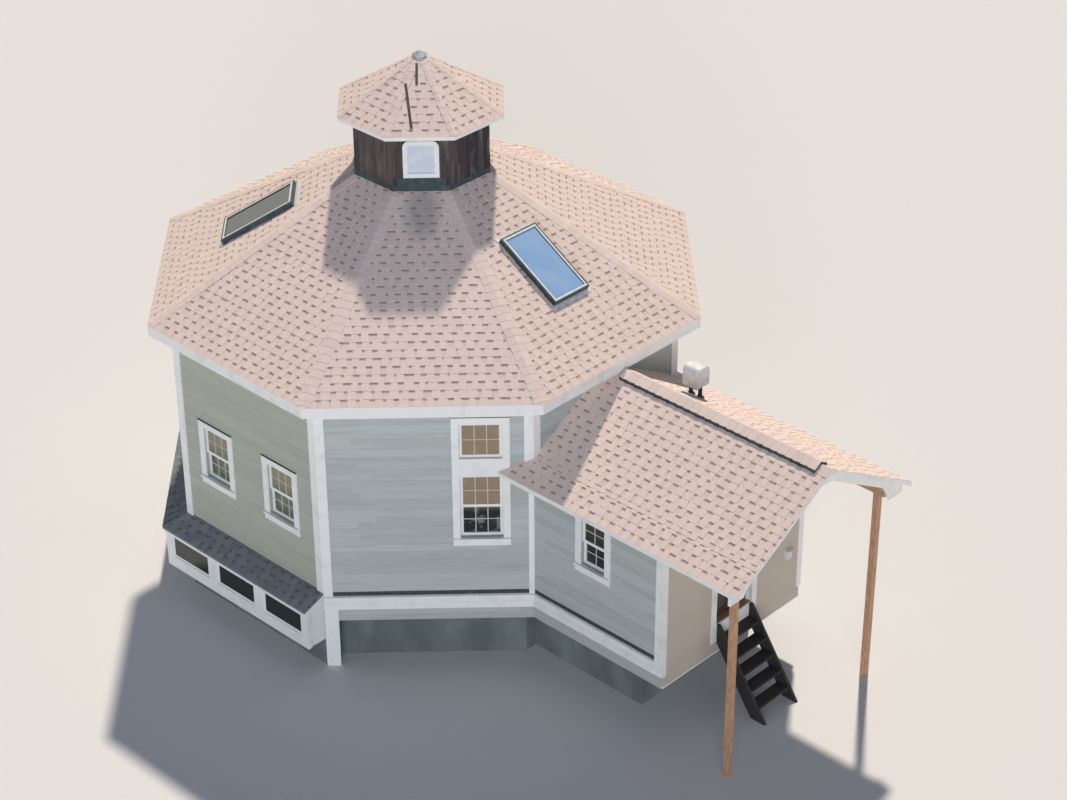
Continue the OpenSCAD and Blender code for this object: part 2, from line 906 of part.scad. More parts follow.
// Fascia under the pent roof, the boards along the bay's ends and the bay's bottom
module pent_boards() {
    far = bay_inner - seat;
    post = bay_face - narrow_w;
    color("white") {
        pent_run([[bay_face, pent_low], [pent_face, pent_low], [pent_face, pent_under(pent_face)],
            [bay_face, pent_under(bay_face)]]);
        pent_run([[wall_apothem, bay_foot], [far, bay_foot], [far, bay_foot + bay_t],
            [wall_apothem, bay_foot + bay_t]], bay_end);
        at_bay_ends([[wall_apothem, pent_under(wall_apothem)], [bay_face, pent_under(bay_face)],
            [bay_face, bay_foot], [post, bay_foot], [post, pent_under(post) - pent_fascia],
            [wall_apothem, pent_under(wall_apothem) - pent_fascia]], side_half, trim_t - seat);
    }
}

module skylight_frames() {
    color("dimgray")
        for (angle = SKYLIGHT_SIDES)
            on_skylight(angle)
                linear_extrude(skylight_h)
                    difference() {
                        square([skylight_w, skylight_l], center = true);
                        skylight_light();
                    }
}

module skylight_glass() {
    color("steelblue")
        for (angle = SKYLIGHT_SIDES)
            on_skylight(angle)
                translate([0, 0, skylight_h - 4 * glass_t])
                    linear_extrude(2 * glass_t) skylight_light();
}

// A strip round the cupola's foot with a panel under each window
module cupola_flashing() {
    far = cupola_apothem + trim_t;
    apron = cupola_foot + cupola_sill - seat;
    color("darkslategray") {
        run_round([[cupola_apothem, cupola_foot + seat], [far, roof_top(far) + seat],
            [far, cupola_foot + flashing_h - trim_t],
            [cupola_apothem, cupola_foot + flashing_h]], ALL_SIDES);
        for (angle = CORNER_SIDES)
            at_side(angle)
                along_side([[cupola_apothem, cupola_foot + seat], [far, roof_top(far) + seat],
                    [far, apron], [cupola_apothem, apron]], cupola_apron_w);
    }
}

module cupola_wall() {
    inner = cupola_apothem - cupola_t;
    intersection() {
        side_slice();
        along_side([[cupola_apothem, cupola_foot - roof_drop],
            [cupola_apothem, cupola_under(cupola_apothem) - seat],
            [inner, cupola_under(inner) - seat], [inner, cupola_foot - roof_drop]], reach);
    }
}

// A round-headed outline made of exact arcs
module light_outline(w, h, r) {
    translate([-w / 2, 0]) square([w, h - r]);
    translate([-w / 2 + r, 0]) square([w - 2 * r, h]);
    for (s = [-1, 1]) translate([s * (w / 2 - r), h - r]) circle(r = r);
}

module at_cupola_window() {
    for (angle = SQUARE_SIDES)
        at_side(angle + 45)
            translate([0, -cupola_apothem, cupola_foot + cupola_sill])
                rotate([90, 0, 0]) children();
}

module cupola_square_walls() {
    color("saddlebrown")
        for (angle = SQUARE_SIDES) at_side(angle) cupola_wall();
}

// The walls on the corner sides carry the windows
module cupola_corner_walls() {
    color("saddlebrown")
        difference() {
            for (angle = CORNER_SIDES) at_side(angle) cupola_wall();
            at_cupola_window()
                translate([0, 0, -2 * cupola_t])
                    linear_extrude(4 * cupola_t)
                        translate([0, cupola_bar / 2])
                            light_outline(cupola_window_w - cupola_bar, cupola_window_h - cupola_bar,
                                cupola_window_r - cupola_bar / 2);
        }
}

module cupola_window_frames() {
    color("lightsteelblue")
        at_cupola_window()
            linear_extrude(trim_t)
                difference() {
                    light_outline(cupola_window_w, cupola_window_h, cupola_window_r);
                    translate([0, cupola_bar])
                        light_outline(cupola_window_w - 2 * cupola_bar, cupola_window_h - 2 * cupola_bar,
                            cupola_window_r - cupola_bar);
                }
}

module cupola_glass() {
    color("lightsteelblue")
        at_cupola_window()
            translate([0, cupola_bar / 2, -glass_t])
                linear_extrude(glass_t)
                    light_outline(cupola_window_w - cupola_bar, cupola_window_h - cupola_bar,
                        cupola_window_r - cupola_bar / 2);
}

module cupola_soffit() {
    color("saddlebrown")
        translate([0, 0, cupola_soffit_z])
            linear_extrude(soffit_t)
                difference() {
                    octagon(cupola_eave_apothem - trim_t);
                    octagon(cupola_apothem + seat);
                }
}

// Everything under an eight-sided roof whose edge lies at a height and a distance from the centre
module roof_space(apothem, edge_z, grade) {
    intersection_for (turn = [0 : 3])
        rotate(turn * 2 * half_turn)
            rotate([90, 0, 0])
                linear_extrude(reach, center = true)
                    polygon([[-apothem, 0], [-apothem, edge_z], [0, edge_z + apothem * grade],
                        [apothem, edge_z], [apothem, 0]]);
}

module cupola_roof() {
    wide = cupola_eave_apothem + trim_t;
    color("tan")
        difference() {
            roof_space(cupola_eave_apothem, cupola_eave_z, cupola_slope);
            roof_space(wide, cupola_under(wide), cupola_slope);
        }
}

// A folded sheet that covers the upper ends of the hips
module cupola_cap() {
    half = cap_w / 2;
    wide = cupola_eave_apothem;
    lift = cupola_hip_t / cos(cupola_pitch) + seat;
    color("silver")
        difference() {
            roof_space(half, cupola_peak + lift + cap_rim - half * cupola_slope, cupola_slope);
            roof_space(wide, cupola_eave_z + lift, cupola_slope);
        }
}

module wing_foundation_sides() {
    front = wing_front - wing_front_back;
    color("gray")
        for (s = [-1, 1])
            translate([s * (wing_half - wing_set_back - foundation_t / 2) - foundation_t / 2, -front, 0])
                cube([foundation_t, front - wall_apothem + foundation_back, beam_z]);
}

// The foundation's front wall stands well behind the wing's front
module wing_foundation_front() {
    w = 2 * (wing_half - wing_set_back - foundation_t);
    color("gray")
        translate([-w / 2, -wing_front + wing_front_back, 0])
            cube([w, foundation_t, beam_z]);
}

// Beams under the wing's three walls, with cross beams that rest on the foundation
module wing_beams() {
    inner = wing_half - wall_t;
    color("gray")
        translate([0, 0, beam_z])
            linear_extrude(beam_h) {
                difference() {
                    translate([-wing_half, -wing_front]) square([2 * wing_half, wing_depth]);
                    translate([-inner, -wing_front + wall_t]) square([2 * inner, wing_depth]);
                }
                for (i = [1 : 3])
                    translate([0, -wall_apothem - i * wing_depth / 4])
                        square([2 * wing_half - wall_t, wall_t], center = true);
            }
}

module wing_floor() {
    w = 2 * (wing_half - wall_t);
    color("peru")
        translate([0, 0, foundation_h])
            linear_extrude(floor_t) {
                translate([-w / 2, wall_t - wing_front]) square([w, wing_depth - wall_t]);
                translate([-passage_w / 2, -wall_apothem - wall_t])
                    square([passage_w, 2 * wall_t - seat]);
                translate([door_x - doorway_half, -wing_front]) square([2 * doorway_half, 2 * wall_t]);
            }
}

module wing_side_walls() {
    inner = wing_half - wall_t;
    color("lightgray")
        difference() {
            for (s = [-1, 1])
                translate([0, -wall_apothem, 0])
                    rotate([90, 0, 0])
                        linear_extrude(wing_depth)
                            polygon([[s * wing_half, foundation_h], [s * wing_half, wing_under(wing_half)],
                                [s * inner, wing_under(inner)], [s * inner, foundation_h]]);
            translate([-wing_eave, -wall_apothem - wing_window_y - wing_window_w / 2, floor_h + window_sill])
                cube([2 * wing_eave, wing_window_w, wing_window_h]);
        }
}

module wing_front_face() {
    inner = wing_half - wall_t;
    translate([0, -wing_front + wall_t, 0])
        rotate([90, 0, 0])
            linear_extrude(wall_t)
                polygon([[-inner, foundation_h], [-inner, wing_under(inner)], [0, wing_under(0)],
                    [inner, wing_under(inner)], [inner, foundation_h]]);
}

module wing_front_sides() {
    color("lightgray")
        difference() {
            wing_front_face();
            translate([door_x - doorway_half, -reach, 0]) cube([2 * doorway_half, reach, reach]);
            translate([-reach / 2, -reach, doorway_top]) cube([reach, reach, reach]);
        }
}

module wing_front_top() {
    color("lightgray")
        difference() {
            wing_front_face();
            translate([-reach / 2, -reach, 0]) cube([reach, reach, doorway_top]);
        }
}

// The band boards on the wing's sides meet those of the octagon in the corner
module wing_band_runs() {
    start = wall_apothem - 2 * corner_w;
    difference() {
        for (s = [-1, 1])
            translate([0, -start, 0])
                rotate([90, 0, 0])
                    linear_extrude(wing_front - corner_w - start)
                        polygon([for (p = band_outline(wing_half, band_z, band_cap)) [s * p[0], p[1]]]);
        linear_extrude(reach) octagon(wall_apothem);
    }
}

module wing_band() { color("white") wing_band_runs(); }

module wing_roof_left() { color("tan") wing_slope(-1); }
module wing_roof_right() { color("tan") wing_slope(1); }

// The boards on the eaves, joined by those on the sloping edges over the gable
module wing_fascia_boards() {
    edge = wing_eave - trim_t;
    low = wing_top(wing_eave) - wing_fascia;
    difference() {
        for (s = [-1, 1])
            translate([0, -wing_start, 0])
                rotate([90, 0, 0])
                    linear_extrude(gable_front - wing_start)
                        polygon([[s * edge, wing_top(edge)], [s * wing_eave, wing_top(wing_eave)],
                            [s * wing_eave, low], [s * edge, low]]);
        linear_extrude(reach) octagon(wall_apothem);
    }
    translate([0, -gable_front + trim_t, 0])
        rotate([90, 0, 0])
            linear_extrude(trim_t)
                polygon([[-wing_eave, low], [-wing_eave, wing_top(wing_eave)], [0, wing_ridge],
                    [wing_eave, wing_top(wing_eave)], [wing_eave, low], [0, wing_ridge - wing_fascia]]);
}

module wing_fascias() { color("white") wing_fascia_boards(); }

// A raised strip that folds over the ridge
module ridge_vent() {
    half = ridge_vent_w / 2;
    start = eave_apothem + trim_t;
    color("dimgray")
        translate([0, -start, 0])
            rotate([90, 0, 0])
                linear_extrude(gable_front - ridge_vent_gap - start)
                    polygon([[0, wing_ridge], [half, wing_top(half)], [half, wing_top(half) + ridge_vent_h],
                        [0, wing_ridge + ridge_vent_h], [-half, wing_top(half) + ridge_vent_h],
                        [-half, wing_top(half)]]);
}

// A board under the roof's slopes, whose lower edge is rounded under the ridge and at both ends
module gable_arch() {
    edge = wing_eave - trim_t - seat;
    low = wing_top(wing_eave) - gable_h;
    color("white")
        translate([0, -gable_face + gable_t, 0])
            rotate([90, 0, 0])
                linear_extrude(gable_t)
                    difference() {
                        polygon([[-edge, low], [-edge, wing_under(edge)], [0, wing_under(0)],
                            [edge, wing_under(edge)], [edge, low]]);
                        intersection() {
                            translate([0, floor_h + arch_h]) circle(r = arch_r);
                            polygon([[-reach, wing_top(reach) - gable_h], [0, wing_ridge - gable_h],
                                [reach, wing_top(reach) - gable_h]]);
                        }
                    }
}

module porch_posts() {
    color("saddlebrown")
        for (s = [-1, 1])
            translate([s * post_x - post_w / 2, -gable_front + post_set_back - post_w / 2, 0])
                cube([post_w, post_w, floor_h + post_top]);
}

module porch_beams() {
    near = post_x - post_w / 2;
    far = post_x + post_w / 2;
    color("saddlebrown")
        for (s = [-1, 1])
            translate([0, -wing_front - trim_t, 0])
                rotate([90, 0, 0])
                    linear_extrude(gable_face - gable_t - wing_front - trim_t)
                        polygon([[s * near, floor_h + post_top], [s * far, floor_h + post_top],
                            [s * far, wing_under(far)], [s * near, wing_under(near)]]);
}

// Six panels, sunk into one face of the leaf
module leaf_panels() {
    w = (door_w - 2 * stile_w - rail_w) / 2;
    h = (door_h - 2 * stile_w - 2 * rail_w) / 5;
    rows = [[stile_w, 2 * h], [stile_w + 2 * h + rail_w, 2 * h], [stile_w + 4 * h + 2 * rail_w, h]];
    for (row = rows)
        for (x = [stile_w, stile_w + w + rail_w])
            translate([x, -panel_d, row[0]]) cube([w, 2 * panel_d, row[1]]);
}

// The leaf closes flush with the wall's inner face and opens inwards
module entry_door() {
    color("saddlebrown")
        translate([door_x - door_w / 2, door_inner - door_t, floor_h + door_gap])
            difference() {
                cube([door_w, door_t, door_h]);
                leaf_panels();
                translate([0, door_t, 0]) leaf_panels();
            }
}

// Places of the hinges' lower ends
module at_hinges() {
    last = door_h - stile_w - hinge_h;
    for (z = [stile_w, last / 2, last])
        translate([hinge_x, hinge_y, floor_h + z]) children();
}

// One plate of a hinge, with its tabs up to the pin
module hinge_plate(s, w, tabs) {
    edge = barrel_r + 2 * pin_gap;
    translate([s > 0 ? edge : -edge - w, -barrel_r, 0]) cube([w, plate_t, hinge_h]);
    for (i = tabs) {
        translate([s > 0 ? 0 : -edge - plate_t, -barrel_r, i * knuckle_h + pin_gap])
            cube([edge + plate_t, plate_t, knuckle_h - 2 * pin_gap]);
        translate([0, 0, i * knuckle_h + pin_gap]) cylinder(h = knuckle_h - 2 * pin_gap, r = barrel_r);
    }
}

module knob() {
    neck = 2.2 * knob_r;
    rotate([90, 0, 0])
        rotate_extrude()
            polygon([[0, 0], [1.2 * knob_r, 0], [1.2 * knob_r, knob_r / 6], [knob_r / 2.5, knob_r / 2.5],
                [knob_r / 2.5, neck - knob_r], [0.8 * knob_r, neck - 0.7 * knob_r],
                [knob_r, neck - 0.2 * knob_r],
                [0.9 * knob_r, neck + 0.3 * knob_r], [0.5 * knob_r, neck + 0.5 * knob_r],
                [0, neck + 0.55 * knob_r]]);
}

// Knobs and the halves of the hinges that turn with the leaf
module door_hardware() {
    knob_x = door_x - (door_w - stile_w) / 2;
    color("dimgray") {
        translate([knob_x, door_inner - door_t, floor_h + knob_h]) knob();
        translate([knob_x, door_inner, floor_h + knob_h]) mirror([0, 1, 0]) knob();
        at_hinges()
            difference() {
                hinge_plate(-1, stile_w / 3, [1]);
                translate([0, 0, -hinge_h]) cylinder(h = 3 * hinge_h, r = pin_r + pin_gap);
            }
    }
}

// A frame through the wall with stop strips, boards on the outside and the fixed halves of the hinges
module door_frame() {
    clear = doorway_w / 2;
    color("white") {
        translate([door_x, -wing_front, floor_h])
            difference() {
                translate([-doorway_half, 0, 0]) cube([2 * doorway_half, wall_t, doorway_h + jamb_t]);
                translate([-clear, -wall_t, -wall_t]) cube([doorway_w, 3 * wall_t, doorway_h + wall_t]);
            }
        translate([door_x, door_inner - door_t - door_gap - stop_d, floor_h])
            difference() {
                translate([-clear, 0, 0]) cube([doorway_w, stop_d, doorway_h]);
                translate([-clear + stop_t, -stop_d, -stop_t])
                    cube([doorway_w - 2 * stop_t, 3 * stop_d, doorway_h]);
            }
        translate([door_x, -wing_front - trim_t, band_foot])
            difference() {
                translate([-clear - casing_w, 0, 0])
                    cube([doorway_w + 2 * casing_w, trim_t, floor_h + doorway_h + casing_w - band_foot]);
                translate([-clear, -trim_t, floor_h - band_foot])
                    cube([doorway_w, 3 * trim_t, doorway_h]);
            }
    }
    color("dimgray")
        at_hinges() {
            hinge_plate(1, 2 * jamb_t / 3, [0, 2]);
            cylinder(h = hinge_h, r = pin_r);
        }
}

// The stringers' upper edge runs through the front edges of the treads
function nosing_n(z) = stair_start + tread_d - step_run + (floor_h - z) / tan(stair_angle);

module stair_stringers() {
    drop = stringer_h / cos(stair_angle);
    back = stair_start - nosing_n(floor_h);
    color("saddlebrown")
        for (s = [-1, 1])
            translate([door_x + s * (stair_w + stringer_t) / 2, 0, 0])
                along_side([[stair_start, floor_h - drop - back * tan(stair_angle)], [stair_start, floor_h],
                    [nosing_n(floor_h), floor_h], [nosing_n(0), 0], [nosing_n(drop), 0]], stringer_t);
}

module stair_treads() {
    color("sienna")
        for (i = [1 : risers - 1])
            translate([door_x - stair_w / 2, -stair_start - (i - 1) * step_run - tread_d,
                floor_h - i * riser_h - tread_t])
                cube([stair_w, tread_d, tread_t]);
}

// A hood on two legs, which stand on a plate on the slope
module roof_vent() {
    color("white")
        difference() {
            translate([vent_x, -wall_apothem - vent_y, wing_top(vent_x)]) {
                translate([0, vent_w / 2, vent_h - hood_h])
                    rotate([90, 0, 0])
                        linear_extrude(vent_w) light_outline(vent_w, hood_h, hood_r);
                for (s = [-1, 1])
                    translate([0, s * leg_y, -2 * leg_r])
                        cylinder(h = vent_h - hood_h + 3 * leg_r, r = leg_r);
                rotate([0, roof_pitch, 0])
                    translate([0, 0, base_t / 2])
                        cube([vent_w, vent_w + 2 * leg_r, base_t], center = true);
            }
            translate([0, 0, seat]) wing_space();
        }
}

module wall_box() {
    color("white")
        translate([box_x - box_w / 2, -wing_front - box_w / 2, floor_h + box_z])
            cube([box_w, box_w / 2, 1.5 * box_w]);
}

basement_slab();
foundation_square_sides();
foundation_corner_sides();
main_floor();
wall_front_sides();
wall_front_top();
wall_front_left();
wall_front_right();
wall_left();
wall_right();
wall_back_left();
wall_back_right();
wall_back();
corner_boards();
band_boards();
frieze_boards();
eave_soffit();
eave_fascia();
roof_square_slopes();
roof_corner_slopes();
hip_caps();
window_boards();
window_sashes();
window_glass();
basement_window_frames();
basement_panels();
pent_roof();
pent_boards();
skylight_frames();
skylight_glass();
cupola_flashing();
cupola_square_walls();
cupola_corner_walls();
cupola_window_frames();
cupola_glass();
cupola_soffit();
cupola_roof();
cupola_cap();
wing_foundation_sides();
wing_foundation_front();
wing_beams();
wing_floor();
wing_side_walls();
wing_front_sides();
wing_front_top();
wing_band();
wing_roof_left();
wing_roof_right();
wing_fascias();
ridge_vent();
gable_arch();
porch_posts();
porch_beams();
entry_door();
door_hardware();
door_frame();
stair_stringers();
stair_treads();
roof_vent();
wall_box();
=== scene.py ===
"""Looks of an octagonal shingled house with a roof cupola, laid over its packed construction."""
import json
import math

import bmesh
import bpy
from bpy.props import FloatProperty, FloatVectorProperty, IntProperty, PointerProperty
from mathutils import Matrix, Vector


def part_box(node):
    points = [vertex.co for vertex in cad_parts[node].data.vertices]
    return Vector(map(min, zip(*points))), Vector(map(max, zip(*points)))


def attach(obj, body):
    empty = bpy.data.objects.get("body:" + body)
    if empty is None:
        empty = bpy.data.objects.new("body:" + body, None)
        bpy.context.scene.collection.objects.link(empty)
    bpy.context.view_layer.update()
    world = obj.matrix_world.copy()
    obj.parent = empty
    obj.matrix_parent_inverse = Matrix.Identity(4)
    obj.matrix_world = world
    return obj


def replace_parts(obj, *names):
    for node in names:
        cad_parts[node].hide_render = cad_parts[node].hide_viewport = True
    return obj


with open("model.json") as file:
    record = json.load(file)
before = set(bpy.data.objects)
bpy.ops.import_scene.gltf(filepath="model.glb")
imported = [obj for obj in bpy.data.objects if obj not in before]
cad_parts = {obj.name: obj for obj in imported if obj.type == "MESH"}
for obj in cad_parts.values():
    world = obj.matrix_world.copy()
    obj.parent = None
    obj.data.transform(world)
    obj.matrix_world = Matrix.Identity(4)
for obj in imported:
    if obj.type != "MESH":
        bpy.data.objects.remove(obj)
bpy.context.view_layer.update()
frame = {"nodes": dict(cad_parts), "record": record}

bl_info = {
    "name": "Octagonal house finish",
    "version": (1, 1, 0),
    "blender": (4, 5, 0),
    "location": "View3D > Sidebar > House",
    "description": "Shingles, clapboards, glazing bars and finishes for an octagonal house",
    "category": "Object",
}

HOUSE = "house"
MM = 0.001

# The sides of the octagon by the angle that they face, seen from above
FRONT, FRONT_RIGHT, RIGHT, BACK_RIGHT = -90, -45, 0, 45
BACK, BACK_LEFT, LEFT, FRONT_LEFT = 90, 135, 180, -135
SIDES = (FRONT, FRONT_RIGHT, RIGHT, BACK_RIGHT, BACK, BACK_LEFT, LEFT, FRONT_LEFT)
PAIRED_SIDES = (LEFT, RIGHT, BACK, BACK_LEFT, BACK_RIGHT)
BAND_SIDES = (FRONT_LEFT, FRONT_RIGHT, RIGHT, BACK_RIGHT, BACK)
CUPOLA_WINDOW_SIDES = (FRONT_RIGHT, BACK_RIGHT, BACK_LEFT, FRONT_LEFT)
PENT_SIDES = (LEFT, BACK_LEFT)
SKYLIGHT_SIDES = (FRONT, BACK_LEFT)
WING_SIDES = (-1, 1)
HALF_STEP = 22.5
HALF_TURN = math.radians(HALF_STEP)
QUARTER_TURN = Matrix.Rotation(math.radians(90), 4, "Z")
HALF = math.tan(HALF_TURN)

# Sizes read from the construction, in metres
TRIM = 25 * MM
ROOF_PITCH = math.radians(30.3)
CUPOLA_PITCH = math.radians(33)
PENT_PITCH = math.radians(21)
GRADE = math.tan(ROOF_PITCH)
CUPOLA_GRADE = math.tan(CUPOLA_PITCH)
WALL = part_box("wall_back")[1].y
SIDE_HALF = WALL * HALF
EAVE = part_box("eave_fascia")[1].y
EAVE_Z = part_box("eave_fascia")[1].z - TRIM * GRADE
FRIEZE_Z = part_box("frieze_boards")[0].z
BAND_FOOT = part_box("band_boards")[0].z
BAND_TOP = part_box("band_boards")[1].z
RIM_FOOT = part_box("wing_beams")[0].z
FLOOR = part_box("main_floor")[1].z
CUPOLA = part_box("cupola_square_walls")[1].y
CUPOLA_FOOT = EAVE_Z + (EAVE - CUPOLA) * GRADE
CUPOLA_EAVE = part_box("cupola_roof")[1].y
CUPOLA_EAVE_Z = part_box("cupola_roof")[1].z - CUPOLA_EAVE * CUPOLA_GRADE
CUPOLA_SOFFIT_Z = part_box("cupola_soffit")[0].z
WING_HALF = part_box("wing_side_walls")[1].x
WING_FRONT = -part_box("wing_front_sides")[0].y
WING_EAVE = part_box("wing_fascias")[1].x
WING_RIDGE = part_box("wing_roof_left")[1].z
WING_ROOF = 60 * MM
WING_DROP = WING_ROOF / math.cos(ROOF_PITCH)
GABLE = -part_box("wing_fascias")[0].y
PENT_EDGE = -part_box("pent_roof")[0].x
PENT_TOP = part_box("pent_roof")[1].z
SKYLIGHT_HALF_W = 0.39
SKYLIGHT_HALF_L = 0.69
SKYLIGHT_REACH = 2.69
SKYLIGHT_Y = (EAVE - SKYLIGHT_REACH) / math.cos(ROOF_PITCH)
CORNER = 0.14
NARROW_CORNER = 0.075


def linear(text):
    """An sRGB hex colour as linear red, green, blue and alpha."""
    parts = [int(text[i:i + 2], 16) / 255 for i in (1, 3, 5)]
    return [c / 12.92 if c <= 0.04045 else ((c + 0.055) / 1.055) ** 2.4 for c in parts] + [1.0]


def length(name, default, description):
    return FloatProperty(name=name, description=description, default=default, unit="LENGTH")


def paint(name, default, description):
    return FloatVectorProperty(name=name, description=description, default=linear(default), size=4,
                               min=0.0, max=1.0, subtype="COLOR")


class RoofSizes(bpy.types.PropertyGroup):
    exposure: length("Shingle exposure", 0.143, "Height of each course that shows")
    tab_spacing: length("Tab spacing", 0.205, "Distance from one raised tab to the next")
    tab_thickness: length("Tab thickness", 0.009, "Thickness at a tab's lower edge")
    cap_width: length("Cap width", 0.12, "Width of a cap shingle on each side of the hip")
    apron: length("Apron height", 0.07, "Height of the sheet below and above a skylight")
    seed: IntProperty(name="Seed", description="Seed of the random widths", default=7)


class SidingSizes(bpy.types.PropertyGroup):
    exposure: length("Clapboard exposure", 0.112, "Height of each board that shows")
    thickness: length("Clapboard thickness", 0.014, "Thickness at a board's lower edge")
    board_length: length("Board length", 2.9, "Distance from joint to joint in a course")
    upright_width: length("Upright board width", 0.128, "Width of the cupola's boards")
    # The dark strip is flashing and also painted shade of the line under the lowest clapboard
    flashing: length("Wall flashing height", 0.085, "Height of the dark strip over the band board")
    band_joint: length("Band joint height", 0.129, "Height of the lower of the two band boards")


class WindowSizes(bpy.types.PropertyGroup):
    window_w: length("Window width", 0.6, "Width of a double hung window")
    window_h: length("Window height", 0.95, "Height of a double hung window")
    sill: length("Sill height", 1.0, "Height of a window's foot over the floor")
    window_x: length("Window offset", 0.78, "Distance of a window from the wall's middle")
    tall_w: length("Tall window width", 0.68, "Width of a tall window")
    tall_h: length("Tall window height", 1.17, "Height of a tall window's hung part")
    tall_sill: length("Tall sill height", 1.03, "Height of a tall window's foot over the floor")
    tall_x: length("Tall window offset", 0.869, "Distance from the wall's middle")
    tall_rail: length("Rail height", 0.32, "Height of the boards under the upper light")
    light_h: length("Light height", 0.64, "Height of the light over a tall window")
    wing_w: length("Wing window width", 0.5, "Width of a wing window")
    wing_h: length("Wing window height", 0.88, "Height of a wing window")
    wing_y: length("Wing window place", 1.28, "Distance from the octagon's wall")
    casing: length("Casing width", 0.115, "Width of the boards round a window")
    apron: length("Apron height", 0.145, "Height of the board under a window")
    sash: length("Sash width", 0.05, "Width of a sash's members")
    sash_depth: length("Sash depth", 0.035, "Thickness of a sash")
    set_back: length("Sash set back", 0.025, "Distance of the upper sash behind the wall")
    bar: length("Glazing bar width", 0.016, "Width of a bar between two panes")
    cupola_w: length("Cupola window width", 0.575, "Width of a cupola window with its frame")
    cupola_h: length("Cupola window height", 0.64, "Height of a cupola window with its frame")
    cupola_sill: length("Cupola sill height", 0.228, "Height of a cupola window over the roof")
    cupola_apron: length("Cupola apron width", 0.77, "Width of the sheet below a cupola window")


class StageSizes(bpy.types.PropertyGroup):
    lens: FloatProperty(name="Lens", description="Focal length of the camera in millimetres", default=87)
    key: FloatProperty(name="Key strength", description="Strength of the crisp lamp", default=3.45)
    soft: FloatProperty(name="Soft strength", description="Strength of the wide lamp", default=1.7)
    fill: FloatProperty(name="Fill strength", description="Strength of the even light all round",
                        default=0.21)


class Colours(bpy.types.PropertyGroup):
    shingle: paint("Shingle", "#ead8cd", "Lighter colour of the shingles")
    siding: paint("Siding", "#b6bdbb", "Lighter colour of the clapboards")
    trim: paint("Trim", "#ecedea", "Colour of the boards at corners, bands and windows")
    door: paint("Door", "#3c2c27", "Colour of the entry door")


class HouseSettings(bpy.types.PropertyGroup):
    roof: PointerProperty(type=RoofSizes)
    siding: PointerProperty(type=SidingSizes)
    windows: PointerProperty(type=WindowSizes)
    colours: PointerProperty(type=Colours)
    stage: PointerProperty(type=StageSizes)


def add(tree, kind, inputs=(), out=0, **settings):
    """Add a node, set it up, fill or link its inputs, and return one of its outputs.

    A kind in capitals is the operation of a Math node.
    """
    if kind.isupper():
        kind, settings["operation"] = "ShaderNodeMath", kind
    new = tree.nodes.new(kind)
    for name, value in settings.items():
        setattr(new, name, value)
    for socket, value in inputs.items() if isinstance(inputs, dict) else enumerate(inputs):
        if isinstance(value, bpy.types.NodeSocket):
            tree.links.new(value, new.inputs[socket])
        else:
            new.inputs[socket].default_value = value
    return new.outputs[out] if len(new.outputs) else new


def group_tree(name, inputs):
    """A Geometry Nodes tree with named inputs and one mesh output."""
    tree = bpy.data.node_groups.new(name, "GeometryNodeTree")
    kinds = {int: "Int", float: "Float", tuple: "Vector", str: "Material"}
    for label, value in inputs.items():
        socket = tree.interface.new_socket(name=label, in_out="INPUT",
                                           socket_type="NodeSocket" + kinds[type(value)])
        if not isinstance(value, str):
            socket.default_value = value
    tree.interface.new_socket(name="Mesh", in_out="OUTPUT", socket_type="NodeSocketGeometry")
    return tree, add(tree, "NodeGroupInput").node.outputs


def grow(tree, place, sizes):
    """Run a Geometry Nodes tree with its inputs set, and return its mesh at its place."""
    obj = bpy.data.objects.new("growing", bpy.data.meshes.new("growing"))
    bpy.context.scene.collection.objects.link(obj)
    modifier = obj.modifiers.new("growing", "NODES")
    modifier.node_group = tree
    for item in tree.interface.items_tree:
        if item.item_type == "SOCKET" and item.in_out == "INPUT" and item.name in sizes:
            modifier[item.identifier] = sizes[item.name]
    graph = bpy.context.evaluated_depsgraph_get()
    mesh = bpy.data.meshes.new_from_object(obj.evaluated_get(graph))
    bpy.data.objects.remove(obj)
    mesh.transform(place)
    return mesh


